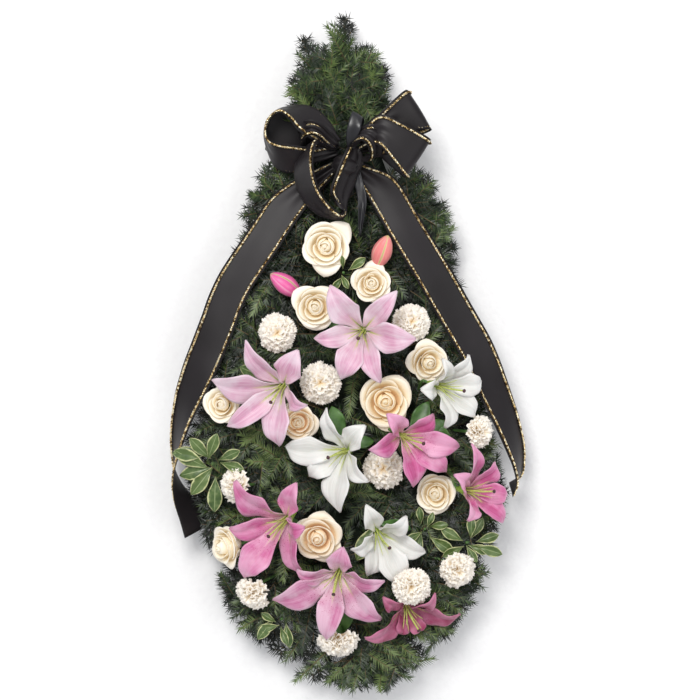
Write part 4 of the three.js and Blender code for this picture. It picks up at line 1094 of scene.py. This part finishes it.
made = surface(bow_bm, 28, 20, knot_place)
bmesh.ops.remove_doubles(bow_bm, verts=made, dist=WELD)
bow = make_piece(bow_bm, "ribbon_bow_satin", [satin_finish])
stand_for(bow, "ribbon_bow", "ribbon")
bow_cords = new_cord_piece(trim, "ribbon_bow_gold_cords")

# %% [markdown]
# ## The tie
# A narrow shiny ribbon ties the bow. One loop of it stands above the knot, and one end trails down under
# the bow.

# %% Make the tie
TIE_WIDTH = 15
tie_finish = plain_finish("tie_satin", (0.006, 0.006, 0.008), (0.016, 0.016, 0.02), 0.32, 60, 0.0006)
tie_bm = new_bmesh()
tie_length = 0
for rows in TIE.values():
    steps = STATION_STEPS * (len(rows) - 1)
    tie_length += strip(tie_bm, rows, steps, pleats=2, across=8, width=TIE_WIDTH)[3]
tie = make_piece(tie_bm, "satin_tie_ribbon", [tie_finish])
stand_for(tie, "satin_tie", "satin_tie")
print("tie, flat length:", round(tie_length * MM, 3))

# %% [markdown]
# ## Fir
# Fir is the body of the wreath. Each frond has a main twig from its butt in the foam to a tip past the
# edge, arms that fork from it, and short twigs on both sides of all of them. Every twig carries needles
# in a comb to both sides and above. There are tens of thousands of needles, so one needle is modelled
# once, with four faces, and numpy sets its copies in place. A needle that would stand in a bloom or
# through the ribbon is left out.

# %% Where the fronds are
FRONDS = {
    "fir_top_middle": ((0, 330), (-4, 506)), "fir_top_left": ((-12, 300), (-66, 474)),
    "fir_top_right": ((12, 296), (58, 426)), "fir_left_1": ((-18, 214), (-144, 240)),
    "fir_right_1": ((18, 214), (144, 222)), "fir_left_2": ((-18, 130), (-168, 132)),
    "fir_right_2": ((18, 146), (156, 126)), "fir_left_3": ((-14, 4), (-200, 20)),
    "fir_right_3": ((14, -10), (190, 12)), "fir_left_4": ((-14, -92), (-222, -104)),
    "fir_right_4": ((14, -112), (208, -106)), "fir_left_5": ((-14, -200), (-234, -236)),
    "fir_right_5": ((14, -210), (226, -240)), "fir_left_6": ((-24, -300), (-168, -390)),
    "fir_right_6": ((24, -300), (184, -384)), "fir_foot": ((12, -376), (34, -500)),
}
ARMS = [(0.06, 0.7, 32), (0.28, 0.6, 36), (0.5, 0.46, 38), (0.74, 0.32, 44), (0.88, 0.22, 48)]
SLIM_ARMS = [(0.06, 0.7, 34), (0.26, 0.5, 36), (0.48, 0.3, 40)]
SLIM_TAPER = 0.78
WIDE_ARMS = [(0.04, 1.25, 66), (0.12, 1.15, 44), (0.4, 0.6, 36), (0.62, 0.42, 36), (0.82, 0.3, 42)]
RIM = [
    (-518, -10, 71), (-494, -82, 100), (-454, -134, 141), (-410, -176, 178), (-348, -206, 214),
    (-223, -250, 248), (-148, -252, 238), (-73, -238, 218), (77, -199, 184), (167, -173, 172),
    (227, -161, 154), (302, -124, 112), (377, -98, 76), (437, -96, 66), (478, -98, 50),
    (496, -90, 40), (506, -40, 34), (528, -30, 22)]
FIR_LEVEL = 64
FIR_DROOP = 34
NEEDLE_LENGTH = 16
NEEDLE_STEP = 2.4
COMB_STEP = 2.6
COMB_RADIUS = 1.15
TWIG_GAP = 13
COMB_GAP = 26
MAIN_STEPS = 24
ARM_STEPS = 16
BUTT_TWIGS = 7
# Needle tones: painted light on the combs, and painted shade on the deeper twigs.
COMB_PAINTED_LIGHT = 0.44
DEEP_PAINTED_SHADE = 0.15
NEEDLE_WIDE = 1.1
NEEDLE_THICK = 0.6
NEEDLE_MARGIN = 10
RIM_Y, RIM_LEFT, RIM_RIGHT = (np.array(values, float) for values in zip(*RIM))

def room(place, way):
    """How far a twig may run from a place along a way before it leaves the drop."""
    for reach in range(4, 160, 4):
        x, y = place[0] + way[0] * reach, place[1] + way[1] * reach
        left, right = np.interp(y, RIM_Y, RIM_LEFT), np.interp(y, RIM_Y, RIM_RIGHT)
        inside = RIM_Y[0] + NEEDLE_MARGIN <= y <= RIM_Y[-1] - NEEDLE_MARGIN
        if not (inside and left + NEEDLE_MARGIN < x < right - NEEDLE_MARGIN):
            return reach - 4
    return 160

# %% Keep clear of blooms and ribbon
CORES = []
for head in list(ROSES.values()) + list(CARNATIONS.values()):
    CORES.append((head, 4, 32, 35 if head in ROSES.values() else 30))
for head in BUDS.values():
    CORES.append((head, 4, 54, 16))

def up_the_head(head, level):
    """A place on the axis of a head, by its level over the foot of the head."""
    return np.array(head["at"]) + heading(head["lean"], head["to"]) * level * head["size"]

core_from = np.array([up_the_head(head, low) for head, low, high, radius in CORES])
core_to = np.array([up_the_head(head, high) for head, low, high, radius in CORES])
core_radius = np.array([radius * head["size"] for head, low, high, radius in CORES])
RIBBON_CLEAR = 12
LEAF_CLEAR = 8
RIBBON_LEVEL = 80
LEAF_LEVEL = 66
UNDERSIDE = 6

def flat_tree(places):
    """A tree that finds the nearest of the places as seen from above."""
    tree = kdtree.KDTree(len(places))
    for i, (x, y, z) in enumerate(places):
        tree.insert((x, y, 0), i)
    tree.balance()
    return tree

COVERS = [
    (flat_tree(ribbon_places), ribbon_places, RIBBON_CLEAR, RIBBON_LEVEL),
    (flat_tree(leaf_places), leaf_places, LEAF_CLEAR, LEAF_LEVEL)]
LILY_CEILING = 112

def blocked(points):
    """Which points lie in a bloom, or above the underside of the ribbon or of a leaf."""
    span = core_to - core_from
    t = np.clip(((points[:, None] - core_from) * span).sum(-1) / (span**2).sum(-1), 0, 1)
    gap = np.linalg.norm(points[:, None] - (core_from + span * t[..., None]), axis=-1)
    inside = (gap < core_radius).any(axis=1)
    for i, (x, y, z) in enumerate(points):
        for tree, places, clear, level in COVERS:
            if not inside[i] and z > level:
                place, nearest, gap = tree.find((x, y, 0))
                inside[i] = gap < clear and z > places[nearest][2] - UNDERSIDE
    return inside

# %% One needle
needle_bm = bmesh.new()
bmesh.ops.create_cone(needle_bm, cap_ends=True, segments=3, radius1=1, radius2=0, depth=1,
                      matrix=Matrix.Translation((0, 0, 0.5)))
bmesh.ops.remove_doubles(needle_bm, verts=needle_bm.verts, dist=1e-5)
bmesh.ops.triangulate(needle_bm, faces=needle_bm.faces)
NEEDLE_POINTS = np.array([vert.co for vert in needle_bm.verts])
NEEDLE_FACES = np.array([[vert.index for vert in face.verts] for face in needle_bm.faces])
needle_bm.free()
print("needle faces:", len(NEEDLE_FACES))

def needles_on(line, length, comb):
    """Roots, ways and lengths of the needles on one twig. On a comb nearly all lie to its two sides."""
    steps = len(line) - 1
    along = unit(np.gradient(line, axis=0))
    count = int(2 * length / (COMB_STEP if comb else NEEDLE_STEP))
    shares = np.clip((np.arange(count) + np_rng.uniform(0.2, 0.8, count)) / count, 0.02, 1)
    i = np.minimum((shares * steps).astype(int), steps - 1)
    part = (shares * steps - i)[:, None]
    roots = line[i] * (1 - part) + line[i + 1] * part
    way = along[i]
    side = unit(np.cross(way, (0, 0, 1)))
    up = np.cross(side, way)
    flat = np_rng.random(count) < (0.9 if comb else 0.7)
    fan = np.radians(np.where(flat, np_rng.normal(82, 9, count), np_rng.uniform(-30, 62, count)))
    hand = np.where(np.arange(count) % 2, 1, -1)[:, None]
    outward = up * np.cos(fan)[:, None] + side * hand * np.sin(fan)[:, None]
    slope = np.radians(np_rng.normal(62, 5, count) - 42 * shares**4)[:, None]
    ways = way * np.cos(slope) + outward * np.sin(slope)
    lengths = NEEDLE_LENGTH * np_rng.uniform(0.82, 1.05, count) * (1 - 0.3 * shares**4)
    return roots, ways, lengths

np_rng = np.random.default_rng(11)

# %% Fir finishes
bark_finish = plain_finish("fir_bark", (0.07, 0.045, 0.02), (0.17, 0.12, 0.06), 0.8, 220, 0.0006)
needle_finish, tree, shader = finish("fir_needle", Roughness=0.42)
clouds = mottle(tree, 14)
# The needle tone carries painted light and shade: lighter high and on the combs, darker low and deep in the
# fir.
shade = maths(tree, "ADD", tone_of(tree), maths(tree, "MULTIPLY", maths(tree, "SUBTRACT", clouds, 0.5), 0.6))
NEEDLE_GREENS_AND_SHADE = [
    (0.0, (0.002, 0.005, 0.002)), (0.3, (0.007, 0.018, 0.006)), (0.6, (0.024, 0.052, 0.012)),
    (0.95, (0.13, 0.19, 0.05))]
paint(tree, shader, ramp(tree, shade, NEEDLE_GREENS_AND_SHADE))
relief(tree, shader, mottle(tree, 300), 0.0003)

# %% Grow a frond
LONGEST_Y = 519
LOWEST_Z = 4

def turned(ahead, degrees, rise=0):
    """A way turned about the upright axis, with a rise of its own."""
    turn = math.radians(degrees)
    return np.array((ahead[0] * math.cos(turn) - ahead[1] * math.sin(turn),
                     ahead[0] * math.sin(turn) + ahead[1] * math.cos(turn), rise))

def twig_line(root, way, length, rise, sag):
    """A short twig that leaves its root upwards and sags towards its tip."""
    places = [root, root + way * length * 0.5 + np.array((0, 0, rise * 0.6)),
              root + way * length + np.array((0, 0, rise - sag))]
    return rail(places, 6)

def frond_lines(butt, tip, arms, taper):
    """The twigs of a frond, thick ones first: (line, radius)."""
    a, b = np.array((*butt, FIR_LEVEL), float), np.array((*tip, FIR_LEVEL - FIR_DROOP), float)
    span = b - a
    crest = [(0.3, 0.3 * FIR_DROOP + 2), (0.6, 0.56 * FIR_DROOP), (0.82, 0.6 * FIR_DROOP)]
    main = rail([a, *(a + span * share + np.array((0, 0, lift)) for share, lift in crest), b], MAIN_STEPS)
    stalks = [(main, 2.2)]
    size = np.linalg.norm(span[:2])
    for share, reach, angle in arms:
        for hand in (1, -1):
            i = int(share * MAIN_STEPS)
            way = turned(unit(span[:2]), hand * (angle + rng.uniform(-5, 5)))
            length = min(size * reach * rng.uniform(0.9, 1.1), room(main[i], way) - 4)
            if length > 24:
                sag = max(0, main[i][2] + 4 - 36) * min(1, length / 110)
                stalks.append((rail([main[i], main[i] + way * length * 0.55 + np.array((0, 0, 5)),
                                     main[i] + way * length + np.array((0, 0, 4 - sag))], ARM_STEPS), 1.7))
    twigs = []
    for line, radius in stalks:
        length = np.linalg.norm(np.diff(line, axis=0), axis=1).sum()
        steps = len(line) - 1
        count = int(length / TWIG_GAP)
        for k in range(count):
            share = (k + 0.7) / count
            for hand in (1, -1):
                i = min(steps - 1, int(share * steps))
                ahead = unit(line[i + 1] - line[i])
                way = turned(ahead, hand * rng.uniform(34, 56), ahead[2])
                reach = rng.uniform(36, 58) * (1 - max(0.55, taper) * share)
                reach = min(reach, room(line[i], way) - rng.uniform(-8, 16))
                if reach > 9:
                    lift = rng.uniform(-5, 16)
                    twigs.append((twig_line(line[i], way, reach, lift, rng.uniform(0, 7)), 1.0))
        for k in range(int(length / (COMB_GAP if radius < 2 else TWIG_GAP))):
            share = rng.uniform(0.02, 0.8)
            i = int(share * steps)
            ahead = unit(line[min(steps, i + 1)] - line[i])
            way = turned(ahead, rng.uniform(-75, 75) if share > 0.3 else rng.uniform(-180, 180))
            reach = min(rng.uniform(46, 92) * (1 - taper * share), room(line[i], way) - rng.uniform(-8, 16))
            if reach > 24 and line[i][2] > 50:
                rise = rng.uniform(18, 42)
                twigs.append((twig_line(line[i], way, reach, rise, rng.uniform(0, 10)), COMB_RADIUS))
    for k in range(BUTT_TWIGS):
        way = polar(1, 360 * k / BUTT_TWIGS + rng.uniform(-20, 20))
        reach = min(rng.uniform(34, 60), room(main[0], way) - 2)
        twigs.append((twig_line(main[0], way, reach, rng.uniform(6, 26), rng.uniform(0, 6)), 1.0))
    return stalks, twigs

def spray(name, butt, tip):
    """One frond as one piece: its wood, and all its needles."""
    slim = name.startswith("fir_top")
    arms = SLIM_ARMS if slim else WIDE_ARMS if name in ("fir_foot", "fir_left_6", "fir_right_6") else ARMS
    stalks, twigs = frond_lines(butt, tip, arms, SLIM_TAPER if slim else 0)
    bm = new_bmesh()
    post = [(*butt, 26.5), (*butt, 27), (*butt, FIR_LEVEL - 1), (*butt, FIR_LEVEL)]
    tube(bm, post, [0, 2.3, 2.3, 0], 6, 0, 0.4)
    grown = []
    for line, radius in stalks + twigs:
        if blocked(line[2:]).any() or line[:, 2].max() > LILY_CEILING:
            continue
        radii = radius * np.linspace(1, 0.45, len(line))
        radii[0] = radii[-1] = 0
        tube(bm, line, radii, 5, 0, 0.4)
        grown.append((line, np.linalg.norm(np.diff(line, axis=0), axis=1).sum(), radius == COMB_RADIUS))
    roots, ways, lengths, needle_shading = [], [], [], []
    for line, length, comb in grown:
        r, w, n = needles_on(line, length, comb)
        roots.append(r)
        ways.append(w)
        lengths.append(n)
        # Higher needles are painted lighter and lower ones darker: painted light and shade.
        height = np.clip((r[:, 2] - FIR_LEVEL) / 36, -0.6, 1)
        tone = (COMB_PAINTED_LIGHT if comb else DEEP_PAINTED_SHADE) + np_rng.normal(0, 0.13)
        needle_shading.append(tone + 0.34 * height + np_rng.normal(0, 0.14, len(r)))
    roots, ways, lengths, needle_shading = (np.concatenate(part) for part in (roots, ways, lengths, needle_shading))
    tips = roots + ways * lengths[:, None]
    keep = ~blocked(tips) & (tips[:, 2] > LOWEST_Z) & (np.abs(tips[:, 1]) < LONGEST_Y)
    roots, ways, lengths, needle_shading = roots[keep], ways[keep], lengths[keep], needle_shading[keep]
    side = unit(np.cross(ways, (0.1, 0.2, 1)))
    up = np.cross(ways, side)
    p = NEEDLE_POINTS[None]
    points = (roots[:, None] + side[:, None] * p[..., :1] * NEEDLE_WIDE
              + up[:, None] * p[..., 1:2] * NEEDLE_THICK
              + ways[:, None] * p[..., 2:] * lengths[:, None, None])
    faces = NEEDLE_FACES[None] + (np.arange(len(roots)) * len(NEEDLE_POINTS))[:, None, None]
    needles = bpy.data.meshes.new(name)
    needles.from_pydata(points.reshape(-1, 3).tolist(), [], faces.reshape(-1, 3).tolist())
    tone_layer = needles.attributes.new("tone", "FLOAT", "POINT")
    tone_layer.data.foreach_set("value", np.repeat(needle_shading, len(NEEDLE_POINTS)))
    needles.polygons.foreach_set("material_index", np.ones(len(needles.polygons), np.int32))
    bm.from_mesh(needles)
    bpy.data.meshes.remove(needles)
    piece = make_piece(bm, name + "_spray", [bark_finish, needle_finish])
    stand_for(piece, name, "fir")
    return len(roots)

# %% Make the fir
needle_count = sum(spray(name, butt, tip) for name, (butt, tip) in FRONDS.items())
print("needles:", needle_count)

# %% [markdown]
# ## Board, foam and pick
# These three keep the shapes of their solids. They hardly show, so a finish is all they need: foamed
# green plastic with its pores, painted nearly black as painted shade in the gaps between the fronds,
# painted board, and the dry wood of the pick.

# %% Finish the solids that stay
def refinish(node, material):
    """Puts a finish on a solid of the frame."""
    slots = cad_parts[node].material_slots
    if slots:
        slots[0].material = material
    else:
        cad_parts[node].data.materials.append(material)

# The foam is painted nearly black: painted shade for the gaps between the fronds.
foam_painted_shade_finish = plain_finish("wet_foam_painted_shade", (0.004, 0.008, 0.004), (0.010, 0.020, 0.009), 0.95, 500, 0.001)
board_finish = plain_finish("painted_board", (0.42, 0.42, 0.40), (0.55, 0.55, 0.53), 0.85, 40, 0.0004)
wood_finish = plain_finish("pick_wood", (0.20, 0.13, 0.06), (0.34, 0.24, 0.12), 0.75, 90, 0.0006)
refinish("floral_foam", foam_painted_shade_finish)
refinish("backing_board", board_finish)
refinish("bow_pick", wood_finish)
